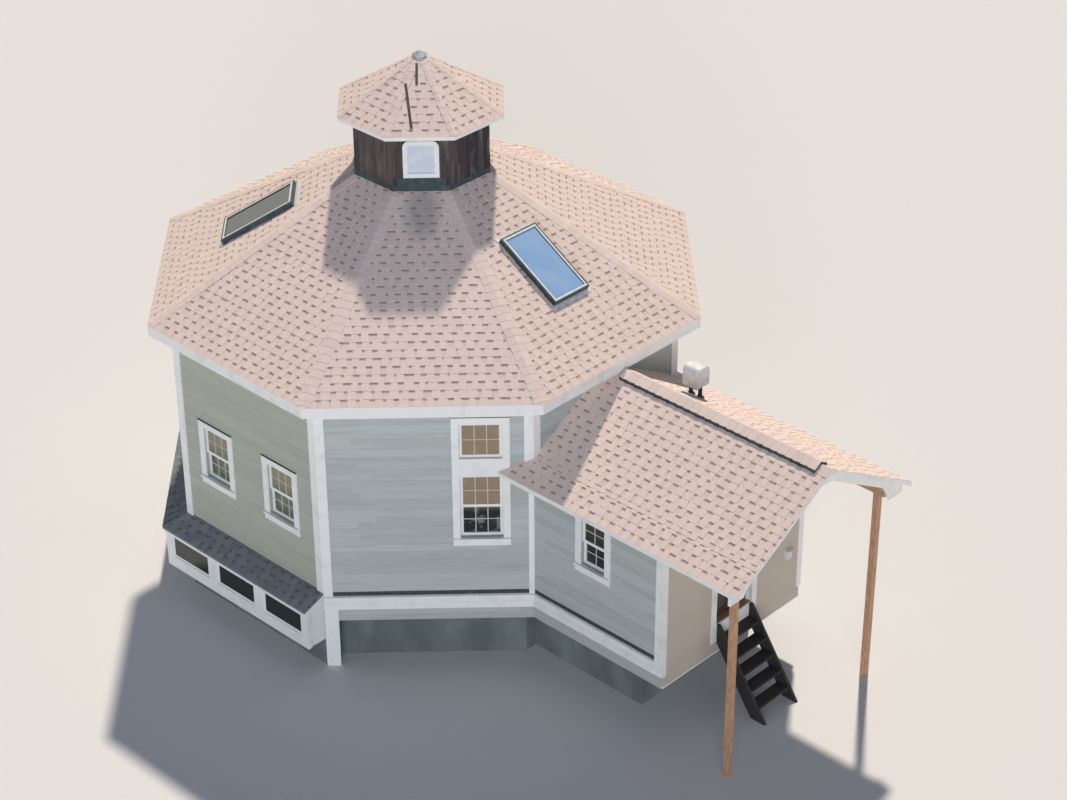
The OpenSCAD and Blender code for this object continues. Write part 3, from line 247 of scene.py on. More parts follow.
def courses_tree():
    """Rows of wedge-shaped pieces that fill a flat field between two straight edges, round one hole."""
    tree, size = group_tree("courses", {
        "Rows": 10, "Columns": 10, "Start X": 0.0, "Start Y": 0.0, "Run": 1.0,
        "Left Foot": -1.0, "Right Foot": 1.0, "Left Head": -1.0, "Right Head": 1.0,
        "Exposure": 0.143, "Cover": 1.3, "Spacing": 0.2, "Fill Low": 1.0, "Fill High": 1.0,
        "Row Shift": 0.0, "Stagger": 0.0, "Butt": 0.01, "Tip": 0.002, "Vary": 0.0, "Lift": 0.0,
        "Fold": 0.0, "Cuts": 2, "Hole Left": 0.0, "Hole Right": 0.0, "Hole Low": -1.0, "Hole High": -1.0,
        "Seed": 1, "Material": "any"})
    sliver = 6 * MM

    position = add(tree, "GeometryNodeInputPosition")
    x, y, z = add(tree, "ShaderNodeSeparateXYZ", (position,)).node.outputs
    above = add(tree, "ADD", (y, size["Exposure"]))
    edges = {}
    for side, keep in (("Left", "MINIMUM"), ("Right", "MAXIMUM")):
        here, there = [add(tree, "ShaderNodeMapRange", (level, 0.0, size["Run"], size[side + " Foot"],
                                                        size[side + " Head"])) for level in (y, above)]
        edges[side] = here, add(tree, keep, (here, there))

    # The grid of places, each course and each piece shifted by chance
    columns = add(tree, "SUBTRACT", (size["Columns"], 1.0))
    rows = add(tree, "SUBTRACT", (size["Rows"], 1.0))
    width = add(tree, "MULTIPLY", (columns, size["Spacing"]))
    height = add(tree, "MULTIPLY", (rows, size["Exposure"]))
    grid = add(tree, "GeometryNodeMeshGrid", (width, height, size["Columns"], size["Rows"]))
    corner = add(tree, "ShaderNodeCombineXYZ", (
        add(tree, "MULTIPLY_ADD", (width, 0.5, size["Start X"])),
        add(tree, "MULTIPLY_ADD", (height, 0.5, size["Start Y"])), size["Lift"]))
    grid = add(tree, "GeometryNodeSetPosition", {"Geometry": grid, "Offset": corner})
    row = add(tree, "SUBTRACT", (y, size["Start Y"]))
    row = add(tree, "DIVIDE", (row, size["Exposure"]))
    row = add(tree, "ROUND", (row,))
    chance = {}
    for label, low, high, offset in (
            ("row", -0.5, 0.5, 11), ("piece", -0.5, 0.5, 12), ("shade", 0.0, 1.0, 14),
            ("fill", size["Fill Low"], size["Fill High"], 13), ("thin", 0.0, size["Vary"], 15)):
        seed = add(tree, "ADD", (size["Seed"], offset))
        inputs = {2: low, 3: high, 8: seed}
        if label == "row":
            inputs[7] = row
        chance[label] = add(tree, "FunctionNodeRandomValue", inputs, out=1, data_type="FLOAT")
    jog = add(tree, "MULTIPLY", (chance["row"], size["Row Shift"]))
    jog = add(tree, "MULTIPLY_ADD", (chance["piece"], size["Stagger"], jog))
    shift = add(tree, "ShaderNodeCombineXYZ", (add(tree, "MULTIPLY", (jog, size["Spacing"])),))
    grid = add(tree, "GeometryNodeSetPosition", {"Geometry": grid, "Offset": shift})
    span = add(tree, "MULTIPLY", (size["Spacing"], chance["fill"]))
    for name, value, kind in (("span", span, "FLOAT"), ("shade", chance["shade"], "FLOAT"),
                              ("spot", position, "FLOAT_VECTOR")):
        grid = add(tree, "GeometryNodeStoreNamedAttribute", {0: grid, 2: name, 3: value}, data_type=kind,
                   domain="POINT")
    span = add(tree, "GeometryNodeInputNamedAttribute", ("span",), data_type="FLOAT")

    # Places that lie wholly past an edge, above the field or in the hole are taken out
    low_x = add(tree, "MULTIPLY_ADD", (span, -0.5, x))
    high_x = add(tree, "MULTIPLY_ADD", (span, 0.5, x))
    left = add(tree, "ADD", (edges["Left"][1], sliver))
    right = add(tree, "SUBTRACT", (edges["Right"][1], sliver))
    top = add(tree, "SUBTRACT", (size["Run"], 2 * sliver))
    under = add(tree, "SUBTRACT", (size["Hole Low"], size["Exposure"]))
    in_hole = 1.0
    for a, b in ((y, under), (size["Hole High"], y), (low_x, size["Hole Left"]),
                 (size["Hole Right"], high_x)):
        inside = add(tree, "GREATER_THAN", (a, b))
        in_hole = add(tree, "MULTIPLY", (inside, in_hole))
    gone = in_hole
    for a, b in ((left, high_x), (low_x, right), (y, top)):
        gone = add(tree, "ADD", (add(tree, "GREATER_THAN", (a, b)), gone))
    gone = add(tree, "GREATER_THAN", (gone, 0.5))
    grid = add(tree, "GeometryNodeDeleteGeometry", (grid, gone), domain="POINT")

    # One piece: thick at its lower edge and thin under the next course
    block = add(tree, "GeometryNodeMeshCube", ((1.0, 1.0, 1.0), size["Cuts"]))
    rise = add(tree, "MULTIPLY", (add(tree, "ADD", (y, 0.5)), size["Cover"]))
    block = add(tree, "GeometryNodeStoreNamedAttribute", {0: block, 2: "rise", 3: rise}, data_type="FLOAT",
                domain="POINT")
    wedge = add(tree, "ShaderNodeMapRange", (y, -0.5, 0.5, size["Butt"], size["Tip"]))
    shaped = add(tree, "ShaderNodeCombineXYZ", (
        x, add(tree, "MULTIPLY", (rise, size["Exposure"])),
        add(tree, "MULTIPLY", (add(tree, "ADD", (z, 0.5)), wedge))))
    block = add(tree, "GeometryNodeSetPosition", {"Geometry": block, "Position": shaped})
    scale = add(tree, "ShaderNodeCombineXYZ", (span, 1.0, add(tree, "SUBTRACT", (1.0, chance["thin"]))))
    laid = add(tree, "GeometryNodeInstanceOnPoints", {"Points": grid, "Instance": block, "Scale": scale})
    laid = add(tree, "GeometryNodeRealizeInstances", (laid,))

    # Every corner is drawn back to the edges of the field and of the hole
    spot = add(tree, "GeometryNodeInputNamedAttribute", ("spot",), data_type="FLOAT_VECTOR")
    spot_x, spot_y, _ = add(tree, "ShaderNodeSeparateXYZ", (spot,)).node.outputs
    kept_x = add(tree, "MAXIMUM", (x, edges["Left"][0]))
    kept_x = add(tree, "MINIMUM", (kept_x, edges["Right"][0]))
    kept_y = add(tree, "MAXIMUM", (y, 0.0))
    kept_y = add(tree, "MINIMUM", (kept_y, size["Run"]))
    middle = add(tree, "ADD", (size["Hole Left"], size["Hole Right"]))
    middle = add(tree, "MULTIPLY", (middle, 0.5))
    beside = add(tree, "GeometryNodeSwitch", (
        add(tree, "GREATER_THAN", (spot_x, middle)),
        add(tree, "MINIMUM", (kept_x, size["Hole Left"])),
        add(tree, "MAXIMUM", (kept_x, size["Hole Right"]))), input_type="FLOAT")
    cut_rows = add(tree, "MULTIPLY", (
        add(tree, "GREATER_THAN", (spot_y, under)),
        add(tree, "GREATER_THAN", (size["Hole High"], spot_y))))
    final_x = add(tree, "GeometryNodeSwitch", (cut_rows, kept_x, beside), input_type="FLOAT")
    fold = add(tree, "MULTIPLY", (add(tree, "ABSOLUTE", (final_x,)), size["Fold"]))
    place = add(tree, "ShaderNodeCombineXYZ", (final_x, kept_y, add(tree, "SUBTRACT", (z, fold))))
    laid = add(tree, "GeometryNodeSetPosition", {"Geometry": laid, "Position": place})
    laid = add(tree, "GeometryNodeSetMaterial", {"Geometry": laid, "Material": size["Material"]})
    add(tree, "NodeGroupOutput", (laid,))
    return tree


def row_tree():
    """Copies of one straight bar at equal steps along a line."""
    tree, size = group_tree("row of bars", {"Count": 2, "Start": (0.0, 0.0, 0.0), "Step": (1.0, 0.0, 0.0),
                                            "Size": (1.0, 1.0, 1.0), "Material": "any"})
    line = add(tree, "GeometryNodeMeshLine", {"Count": size["Count"], "Start Location": size["Start"],
                                              "Offset": size["Step"]})
    bar = add(tree, "GeometryNodeMeshCube", (size["Size"],))
    laid = add(tree, "GeometryNodeInstanceOnPoints", {"Points": line, "Instance": bar})
    laid = add(tree, "GeometryNodeRealizeInstances", (laid,))
    laid = add(tree, "GeometryNodeSetMaterial", {"Geometry": laid, "Material": size["Material"]})
    add(tree, "NodeGroupOutput", (laid,))
    return tree


def lay(tree, place, run, foot, head, style, seed, start=0.0, hole=None):
    """One field of courses. foot and head are its left and right edges at its lower and upper end."""
    left, right = min(foot[0], head[0]), max(foot[1], head[1])
    sizes = style | {
        "Rows": max(2, math.ceil((run - start) / style["Exposure"]) + 1),
        "Columns": max(2, math.ceil((right - left) / style["Spacing"]) + 3),
        "Start X": left - style["Spacing"], "Start Y": start, "Run": run, "Seed": seed,
        "Left Foot": foot[0], "Right Foot": foot[1], "Left Head": head[0], "Right Head": head[1]}
    if hole:
        sizes.update(zip(("Hole Left", "Hole Right", "Hole Low", "Hole High"), hole))
    return grow(tree, place, sizes)


def piece(name, meshes):
    """Join meshes into one object that rides on the house, with collapsed edges cleared away."""
    objects = []
    for mesh in meshes:
        obj = bpy.data.objects.new(name, mesh)
        bpy.context.scene.collection.objects.link(obj)
        objects.append(obj)
    first = objects[0]
    if len(objects) > 1:
        with bpy.context.temp_override(active_object=first, object=first, selected_objects=objects,
                                       selected_editable_objects=objects):
            bpy.ops.object.join()
    first.name = name
    work = bmesh.new()
    work.from_mesh(first.data)
    bmesh.ops.dissolve_degenerate(work, dist=0.1 * MM, edges=work.edges)
    work.to_mesh(first.data)
    work.free()
    if not first.data.polygons:
        raise RuntimeError(name + " has no faces")
    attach(first, HOUSE)
    return first


def solid(rings, finish):
    """A closed mesh through rings of points, with its faces turned outwards."""
    work = bmesh.new()
    rings = [[work.verts.new(point) for point in ring] for ring in rings]
    for low, high in zip(rings, rings[1:]):
        for i in range(len(low)):
            work.faces.new((low[i - 1], low[i], high[i], high[i - 1]))
    work.faces.new(rings[0])
    work.faces.new(rings[-1])
    bmesh.ops.recalc_face_normals(work, faces=work.faces)
    mesh = bpy.data.meshes.new("solid")
    work.to_mesh(mesh)
    work.free()
    mesh.materials.append(finish)
    return mesh


def run(place, left, right, outline, finish, mitre=(0.0, 0.0)):
    """A length of board or sheet: an outline of (out, up) points drawn along X, with mitred ends."""
    return solid([[place @ Vector((end, up, out)) for end, (out, up) in
                   zip([x + turn * out for out, up in outline], outline)]
                  for x, turn in ((left, -mitre[0]), (right, mitre[1]))], finish)


def board(place, low, high, finish, ease=2 * MM):
    """A board between two corners, drawn along Y, with its long edges eased."""
    (x0, y0, z0), (x1, y1, z1) = low, high
    outline = [(x0, z0 + ease), (x0 + ease, z0), (x1 - ease, z0), (x1, z0 + ease),
               (x1, z1 - ease), (x1 - ease, z1), (x0 + ease, z1), (x0, z1 - ease)]
    return solid([[place @ Vector((x, y, z)) for x, z in outline] for y in (y0, y1)], finish)


def turned(place, profile, finish, steps=20):
    """A round piece on the Z axis through (radius, height) points."""
    angles = [math.tau * i / steps for i in range(steps)]
    return solid([[place @ Vector((radius * math.cos(a), radius * math.sin(a), height)) for a in angles]
                  for radius, height in profile], finish)


def move(x=0.0, y=0.0, z=0.0):
    """A matrix that moves by a distance."""
    return Matrix.Translation((x, y, z))


def side_turn(angle):
    """Local X runs to the right seen from outside, and local -Y points outwards."""
    return Matrix.Rotation(math.radians(angle - FRONT), 4, "Z")


def wall_place(angle, apothem=WALL):
    """Local X to the right, local Y up and local Z outwards from a side's wall."""
    return side_turn(angle) @ move(y=-apothem) @ Matrix.Rotation(math.radians(90), 4, "X")


def slope_place(angle, apothem, z, pitch):
    """Local X to the right, local Y up the slope from its lower edge and local Z away from it."""
    return side_turn(angle) @ move(0, -apothem, z) @ Matrix.Rotation(pitch, 4, "X")


def wing_wall_place(side):
    """The same for the wing's walls: side -1 is the left one, 1 the right one, 0 the front."""
    return wall_place(FRONT + 90 * side, WING_HALF if side else WING_FRONT)


def wing_slope_place(side):
    """The same for the wing's slopes."""
    return slope_place(FRONT + 90 * side, WING_EAVE, WING_RIDGE - WING_EAVE * GRADE, ROOF_PITCH)


def hip_place(angle, apothem, z, grade):
    """Local Y up a hip from the eave's corner, and the tilt of that line."""
    tilt = math.atan(grade * math.cos(HALF_TURN))
    reach = apothem / math.cos(HALF_TURN)
    return side_turn(angle + HALF_STEP) @ move(0, -reach, z) @ Matrix.Rotation(tilt, 4, "X"), tilt


def material(name, **settings):
    """A new material with its shader's own sockets set, and its tree."""
    made = bpy.data.materials.new(name)
    made.use_nodes = True
    shader = made.node_tree.nodes["Principled BSDF"]
    for socket, value in settings.items():
        shader.inputs[socket.replace("_", " ")].default_value = value
    return made, made.node_tree


def noise(tree, size_mm, detail=4.0, stretch=(1.0, 1.0, 1.0), rough=0.55):
    """Noise on Object coordinates whose features measure about size_mm, drawn out along an axis."""
    spot = add(tree, "ShaderNodeTexCoord", out="Object")
    spot = add(tree, "ShaderNodeMapping", {"Vector": spot, "Scale": stretch})
    return add(tree, "ShaderNodeTexNoise", {"Vector": spot, "Scale": 1 / (size_mm * MM), "Detail": detail,
                                            "Roughness": rough})


def tone(colour):
    """A colour in linear values, given as text or by the panel."""
    return linear(colour) if isinstance(colour, str) else colour


def dress(made, base, layers, relief, depth_mm, strength):
    """Lay colours over a base, give the surface its relief, and return the material.

    Each layer is a colour, the pattern that it follows, the limits it passes between, and its share.
    """
    tree = made.node_tree
    shader = tree.nodes["Principled BSDF"]
    colour = tone(base)
    for over, pattern, low, high, share in layers:
        amount = add(tree, "ShaderNodeMapRange", (pattern, low, high, 0.0, share))
        colour = add(tree, "ShaderNodeMix", {0: amount, 6: colour, 7: tone(over)}, out=2, data_type="RGBA")
    if layers:
        tree.links.new(colour, shader.inputs["Base Color"])
    bump = add(tree, "ShaderNodeBump", {"Height": relief, "Distance": depth_mm * MM, "Strength": strength})
    tree.links.new(bump, shader.inputs["Normal"])
    return made


def shingle_finish(name, light, dark, tones, band=None, teal_patch=False):
    # Laminated asphalt shingle, felt pressed with mineral granules: dry, speckled, no two tabs alike.
    # The granules are drawn at 7 mm, coarser than the real 2 mm, so that they still show from afar.
    made, tree = material(name, Roughness=0.93, Specular_IOR_Level=0.2)
    shade = add(tree, "ShaderNodeAttribute", out="Fac", attribute_name="shade")
    granules = noise(tree, 7, 3.0)
    layers = [(light, shade, 0.0, 1.0, 1.0),
              (tones[0], noise(tree, 900, 3.0), 0.45, 0.75, 0.4),
              (tones[1], granules, 0.5, 0.72, 0.5),
              (tones[2], granules, 0.48, 0.3, 0.5)]
    # A dark band across the upper part of each base course, just under the next course's butt where the
    # tabs' shadows fall: partly the shingle's printed shadow band, partly painted shade
    if band:
        rise = add(tree, "ShaderNodeAttribute", out="Fac", attribute_name="rise")
        layers.append((band, rise, 0.7, 0.78, 0.85))
    if teal_patch:
        # A grey-teal patch below the cupola's window on the front left slope, strongest at its middle and
        # fading outwards
        middle, reach = (-1.0, -1.0, CUPOLA_FOOT - 0.2), (0.75, 0.36, 0.6)
        spot = add(tree, "ShaderNodeTexCoord", out="Object")
        spot = add(tree, "ShaderNodeMapping", {
            "Vector": spot, "Location": middle, "Rotation": (0.0, 0.0, math.radians(BACK_RIGHT)),
            "Scale": reach}, vector_type="TEXTURE")
        patch_fade = add(tree, "ShaderNodeTexGradient", (spot,), out=1, gradient_type="SPHERICAL")
        layers.append(("#63797a", patch_fade, 0.0, 0.6, 0.45))
    return dress(made, dark, layers, granules, 2, 0.5)


def clapboard_finish(light):
    # Cedar clapboards, sawn and painted grey-green long ago: long level streaks, each board its own tone
    made, tree = material("painted_clapboard", Roughness=0.62)
    shade = add(tree, "ShaderNodeAttribute", out="Fac", attribute_name="shade")
    grain = noise(tree, 10, 5.0, (0.06, 0.06, 1.6))
    spot = add(tree, "ShaderNodeTexCoord", out="Object")
    along_x, along_y, _ = add(tree, "ShaderNodeSeparateXYZ", (spot,)).node.outputs
    near = 50 * MM
    return dress(made, "#a9b0ad", (
        (light, shade, 0.0, 1.0, 1.0),
        ("#8c9492", noise(tree, 70, 4.0, (0.06, 0.06, 1.5)), 0.5, 0.72, 0.45),
        ("#b2ad9f", noise(tree, 400, 3.0, (0.3, 0.3, 1.2)), 0.5, 0.75, 0.35),
        ("#d3dad8", grain, 0.52, 0.75, 0.4),
        # The wing's front under the porch is tinted warm as painted light bounced up from the ground, and
        # the left wall is tinted greener as painted light
        ("#cbb399", along_y, -WING_FRONT + near, -WING_FRONT, 0.6),
        ("#a2a27c", along_x, -WALL + near, -WALL, 0.36)), grain, 1.2, 0.5)


def painted_wood(name, base, worn, rough=0.5):
    # Planed pine with brushed paint: faint grain, a little dirt and thin places
    made, tree = material(name, Roughness=rough)
    grain = noise(tree, 12, 5.0, (1.0, 1.0, 0.1))
    dirt = noise(tree, 240)
    return dress(made, base, (
        (worn, dirt, 0.5, 0.8, 0.5), (worn, grain, 0.55, 0.72, 0.25)), grain, 0.8, 0.4)


def bare_wood(name, light, dark, rough=0.8, along=(1.0, 1.0, 0.07)):
    # Sawn softwood left to the weather: long grain, darker streaks and a dry surface
    made, tree = material(name, Roughness=rough, Specular_IOR_Level=0.3)
    grain = noise(tree, 9, 6.0, along, 0.65)
    streaks = noise(tree, 300, 3.0, (1.0, 1.0, 0.4))
    return dress(made, dark, (
        (light, grain, 0.35, 0.6, 1.0), (dark, streaks, 0.45, 0.75, 0.5)), grain, 2, 0.6)


def upright_board_finish():
    # Cedar boards gone dark with age: every board has its own brown, with paler worn streaks
    made, tree = material("weathered_cedar", Roughness=0.85, Specular_IOR_Level=0.3)
    shade = add(tree, "ShaderNodeAttribute", out="Fac", attribute_name="shade")
    grain = noise(tree, 12, 6.0, (1.0, 1.0, 0.06), 0.65)
    streaks = noise(tree, 110, 4.0, (1.0, 1.0, 0.18))
    return dress(made, "#2f2e33", (
        ("#5f5653", shade, 0.0, 1.0, 1.0),
        ("#8d837c", streaks, 0.52, 0.72, 0.6),
        ("#24262b", grain, 0.5, 0.68, 0.6)), grain, 2.5, 0.7)


def concrete_finish():
    # Concrete cast between boards: grey-green with weather stains and small pores
    made, tree = material("cast_concrete", Roughness=0.9)
    pores = noise(tree, 18, 6.0)
    stains = noise(tree, 700, 5.0, (1.0, 1.0, 0.5))
    return dress(made, "#5f6968", (
        ("#838d89", stains, 0.35, 0.7, 1.0), ("#4a5352", pores, 0.55, 0.8, 0.4)), pores, 3, 0.5)


def pane_finish(name, base, layers, clear=0.15, rough=0.05):
    # Float glass: smooth and glossy, with the faint waves of an old pane. A layer's pattern is the "x", "y"
    # or "z" of the place, or the size of its patches in millimetres.
    made, tree = material(name, Roughness=rough, IOR=1.52, Transmission_Weight=clear)
    spot = add(tree, "ShaderNodeTexCoord", out="Object")
    parts = dict(zip("xyz", add(tree, "ShaderNodeSeparateXYZ", (spot,)).node.outputs))
    layers = [(over, parts[pattern] if pattern in parts else noise(tree, pattern, 3.0), *limits)
              for over, pattern, *limits in layers]
    return dress(made, base, layers, noise(tree, 260, 2.0), 1.5, 0.15)


def metal_finish(name, base, dull, metallic, rough):
    # Rolled sheet metal: dulled in cloudy patches by the weather
    made, tree = material(name, Metallic=metallic, Roughness=rough)
    cloud = noise(tree, 90)
    return dress(made, base, ((dull, cloud, 0.4, 0.7, 1.0),), cloud, 0.8, 0.3)


FINISH = {}


def make_finishes(colours):
    """Every material of the house, by the name of what it is used for."""
    # The second set of tones, for the pent roof, is the pink shingle's tones turned grey-blue as painted
    # shade
    pale, painted_shade_tones = ("#e3d0c5", "#d2beb4", "#f6eae2"), ("#787c80", "#62666b", "#94999d")
    level = (1.0, 0.07, 1.0)
    FINISH.update(
        tabs=shingle_finish("laminated_shingle_tab", colours.shingle, "#e7d4c9", pale, teal_patch=True),
        # The base courses' band colour is partly print, partly painted shade
        base=shingle_finish("laminated_shingle_base", "#e9d5cb", "#dfcbc1", pale, "#9f8c86", True),
        caps=shingle_finish("shingle_cap", "#ecdbd1", "#e2cfc5", pale),
        # The pent roof has the same pink shingles as the other roofs: these grey-blue finishes are painted
        # shade
        pent_tabs=shingle_finish("painted_shade_shingle_tab", "#92989b", "#7f8488", painted_shade_tones),
        pent_base=shingle_finish("painted_shade_shingle_base", "#8a9093", "#787d81", painted_shade_tones, "#62676b"),
        clapboard=clapboard_finish(colours.siding),
        upright=upright_board_finish(),
        white=painted_wood("white_trim_paint", colours.trim, "#c6cac4"),
        sash=painted_wood("aged_sash_paint", "#c3c1b5", "#a5a296"),
        siding=painted_wood("painted_sheathing", "#a3a9a5", "#8c908b"),
        concrete=concrete_finish(),
        floor=bare_wood("pine_floor_boards", "#b08a63", "#7b5a3e", 0.6, level),
        sheathing=bare_wood("pine_roof_boards", "#c2a988", "#93785c", 0.75, level),
        stained=bare_wood("stained_cedar", "#4a3f3b", "#2a2526"),
        post=bare_wood("fir_post", "#cfa685", "#9a755a"),
        door=painted_wood("door_paint", colours.door, "#2a201d", 0.42),
        stair=bare_wood("tarred_stair_board", "#3a3635", "#1d1b1d", 0.7, (0.07, 1.0, 1.0)),
        # The glass is painted with the dark of the rooms behind it, nearly black in the wing's and the
        # basement's windows, and with painted reflections: grey-green and sand-coloured patches,
        # sand-coloured upper sashes and an olive tint on the left wall
        window_glass=pane_finish("window_glass", "#2b3130", (
            ("#8d9792", 190, 0.55, 0.68, 0.75), ("#ad9678", "z", 2.92, 3.12, 0.8),
            ("#c2b69c", 150, 0.58, 0.7, 0.35), ("#7f8a6c", "x", -3.6, -4.0, 0.5),
            ("#252c2d", "y", -4.2, -4.4, 0.85), ("#1f2722", "z", 1.5, 1.2, 1.0))),
        # The front skylight's glass is painted sky blue with paler patches, a painted reflection of the sky,
        # and the one at the back left is painted dark olive
        skylight_glass=pane_finish("skylight_glass", "#8fb8e6", (
            ("#a9c9ec", 420, 0.4, 0.7, 0.6), ("#52574b", "y", -0.5, 0.5, 1.0))),
        cupola_glass=pane_finish("frosted_cupola_glass", "#d5e0ea", (
            ("#ebf1f5", 220, 0.45, 0.7, 0.7),), 0.1, 0.3),
        flashing=metal_finish("painted_flashing", "#2b3940", "#41504f", 0.2, 0.55),
        lead=metal_finish("pale_aluminium_apron", "#d9dcdc", "#bcc1c2", 0.2, 0.5),
        strap=metal_finish("brown_steel_strap", "#352c2d", "#4b3c39", 0.3, 0.6),
        metal=metal_finish("galvanised_sheet", "#9ea3a8", "#7d8287", 1.0, 0.42),
        vent=metal_finish("enamelled_sheet", "#dadcdd", "#bcc0c1", 0.0, 0.45))


SLOT_FINISH = {"white_paint": "white", "shingles": "sheathing", "floor_boards": "floor",
               "stained_boards": "stained", "post_wood": "post", "door_paint": "door",
               "bare_metal": "metal", "vent_paint": "vent"}
NODE_FINISH = {"hip_caps": "caps", "cupola_roof": "white", "pent_roof": "pent_tabs",
               "stair_stringers": "stair", "stair_treads": "stair", "wing_beams": "siding"}


class HOUSE_OT_finishes(bpy.types.Operator):
    """Make the materials and put them on the construction's own pieces"""
    bl_idname = "house.finishes"
    bl_label = "Finishes"

    def execute(self, context):
        make_finishes(context.scene.house.colours)
        slots = {part["node"]: part["material_slot"] for part in frame["record"]["subparts"]}
        for name, obj in frame["nodes"].items():
            finish = FINISH[NODE_FINISH.get(name) or SLOT_FINISH.get(slots[name], slots[name])]
            if not obj.material_slots:
                obj.data.materials.append(finish)
            for slot in obj.material_slots:
                slot.material = finish
        return {"FINISHED"}


def shingled(tree, place, run_up, foot, head, roof, seed, kinds=("base", "tabs"), **more):
    """A slope's two layers: whole courses with a dark upper band, partly print and partly painted shade, and
    raised tabs with gaps over them.
    """
    whole = {"Exposure": roof.exposure, "Cover": 1.2, "Spacing": 0.33, "Row Shift": 1.0, "Butt": 4 * MM,
             "Tip": 1 * MM, "Material": FINISH[kinds[0]]}
    tabs = {"Exposure": roof.exposure, "Cover": 1.22, "Spacing": roof.tab_spacing, "Fill Low": 0.45,
            "Fill High": 0.74, "Row Shift": 1.0, "Stagger": 0.3, "Butt": roof.tab_thickness,
            "Tip": 2.5 * MM, "Vary": 0.2, "Lift": 1.5 * MM, "Material": FINISH[kinds[1]]}
    return [lay(tree, place, run_up, foot, head, style, seed, **more) for style in (whole, tabs)]


def cap_style(roof, width, fold):
    """Folded caps over a hip or ridge."""
    return {"Exposure": roof.exposure, "Cover": 1.35, "Spacing": 2 * width, "Butt": 15 * MM, "Tip": 9 * MM,
            "Vary": 0.1, "Cuts": 3, "Fold": fold, "Material": FINISH["caps"]}


class HOUSE_OT_octagon_shingles(bpy.types.Operator):
    """Lay the shingles of the main roof and of the cupola"""
    bl_idname = "house.octagon_shingles"
    bl_label = "Octagon shingles"

    def execute(self, context):
        roof = context.scene.house.roof
        tree = courses_tree()
        window = (-SKYLIGHT_HALF_W, SKYLIGHT_HALF_W,
                  SKYLIGHT_Y - SKYLIGHT_HALF_L, SKYLIGHT_Y + SKYLIGHT_HALF_L)
        peak, cap_peak = 0.04, 0.09
        for name, eave, eave_z, stop, pitch, holed, seed in (
                ("main_shingles", EAVE, EAVE_Z, CUPOLA, ROOF_PITCH, SKYLIGHT_SIDES, roof.seed),
                ("cupola_shingles", CUPOLA_EAVE, CUPOLA_EAVE_Z, peak, CUPOLA_PITCH, (), roof.seed + 400)):
            fields = []
            for number, angle in enumerate(SIDES):
                fields += shingled(
                    tree, slope_place(angle, eave, eave_z, pitch), (eave - stop) / math.cos(pitch),
                    (-eave * HALF, eave * HALF), (-stop * HALF, stop * HALF), roof, seed + 20 * number,
                    hole=window if angle in holed else None)
            piece(name, fields)
        fields = []
        for eave, eave_z, grade, stop, width in (
                (EAVE, EAVE_Z, GRADE, CUPOLA + TRIM, roof.cap_width),
                (CUPOLA_EAVE, CUPOLA_EAVE_Z, CUPOLA_GRADE, cap_peak, 0.5 * roof.cap_width)):
            for number, angle in enumerate(SIDES):
                place, tilt = hip_place(angle, eave, eave_z, grade)
                style = cap_style(roof, width, grade * math.sin(HALF_TURN) * math.cos(tilt))
                reach = (eave - stop) / math.cos(HALF_TURN) / math.cos(tilt)
                # The lowest cap is trimmed to a point along the two eaves
                point = width * HALF / math.cos(tilt)
                for low, high, foot in ((0.0, point, 0.0), (point, reach, width)):
                    fields.append(lay(tree, place @ move(y=low), high - low, (-foot, foot), (-width, width),
                                      style, roof.seed + 900 + number, start=-low))
        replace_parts(piece("hip_cap_shingles", fields), "hip_caps")
        return {"FINISHED"}


class HOUSE_OT_wing_shingles(bpy.types.Operator):
    """Lay the shingles of the wing, with caps over its ridge and the ridge vent, and of the pent roof"""
    bl_idname = "house.wing_shingles"
    bl_label = "Wing and pent shingles"

    def execute(self, context):
        roof = context.scene.house.roof
        tree = courses_tree()
        fields = []
        corner = (WING_EAVE - WING_HALF) / math.cos(ROOF_PITCH)
        near = WALL - (WING_EAVE - WING_HALF)
        for side in WING_SIDES:
            # Below the corner of the octagon the slope's inner end follows the slanted wall
            for low, high, foot, head in ((0.0, corner, near, WALL),
                                          (corner, WING_EAVE / math.cos(ROOF_PITCH), WALL, WALL)):
                ends = [(-GABLE, -y) if side > 0 else (y, GABLE) for y in (foot, head)]
                fields += shingled(tree, wing_slope_place(side) @ move(y=low), high - low, *ends, roof,
                                   roof.seed + 700 + side, start=-(low % roof.exposure))
        piece("wing_shingles", fields)

        vent_low, vent_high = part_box("ridge_vent")
        width = vent_high.x - 6 * MM
        fields = []
        for start, stop, z in ((-GABLE, vent_low.y, WING_RIDGE), (vent_low.y, vent_high.y, vent_high.z),
                               (vent_high.y, -WALL, WING_RIDGE)):
            fields.append(lay(tree, move(0, start, z), stop - start, (-width, width), (-width, width),
                              cap_style(roof, width, GRADE), roof.seed + 990))
        piece("ridge_cap_shingles", fields)

        fields = []
        reach = PENT_EDGE - WALL
        for angle in PENT_SIDES:
            place = slope_place(angle, PENT_EDGE, PENT_TOP - reach * math.tan(PENT_PITCH), PENT_PITCH)
            ends = [(-at * HALF, SIDE_HALF) if angle == LEFT else (-SIDE_HALF, at * HALF)
                    for at in (PENT_EDGE, WALL)]
            # The pent's courses take the grey-blue finishes that are painted shade
            fields += shingled(tree, place, reach / math.cos(PENT_PITCH), *ends, roof,
                               roof.seed + 800 + angle, ("pent_base", "pent_tabs"))
        piece("pent_shingles", fields)
        return {"FINISHED"}


def free_rectangles(left, right, low, high, holes):
    """Split a wall's face into rectangles that leave the holes free."""
    levels = sorted({low, high, *[z for hole in holes for z in hole[2:] if low < z < high]})
    found = []
    for z0, z1 in zip(levels, levels[1:]):
        cuts = sorted((hole[0], hole[1]) for hole in holes if hole[2] < z1 and hole[3] > z0)
        x = left
        for cut in cuts + [(right, right)]:
            if cut[0] > x:
                found.append((x, min(cut[0], right), z0, z1))
            x = max(x, cut[1])
    return found


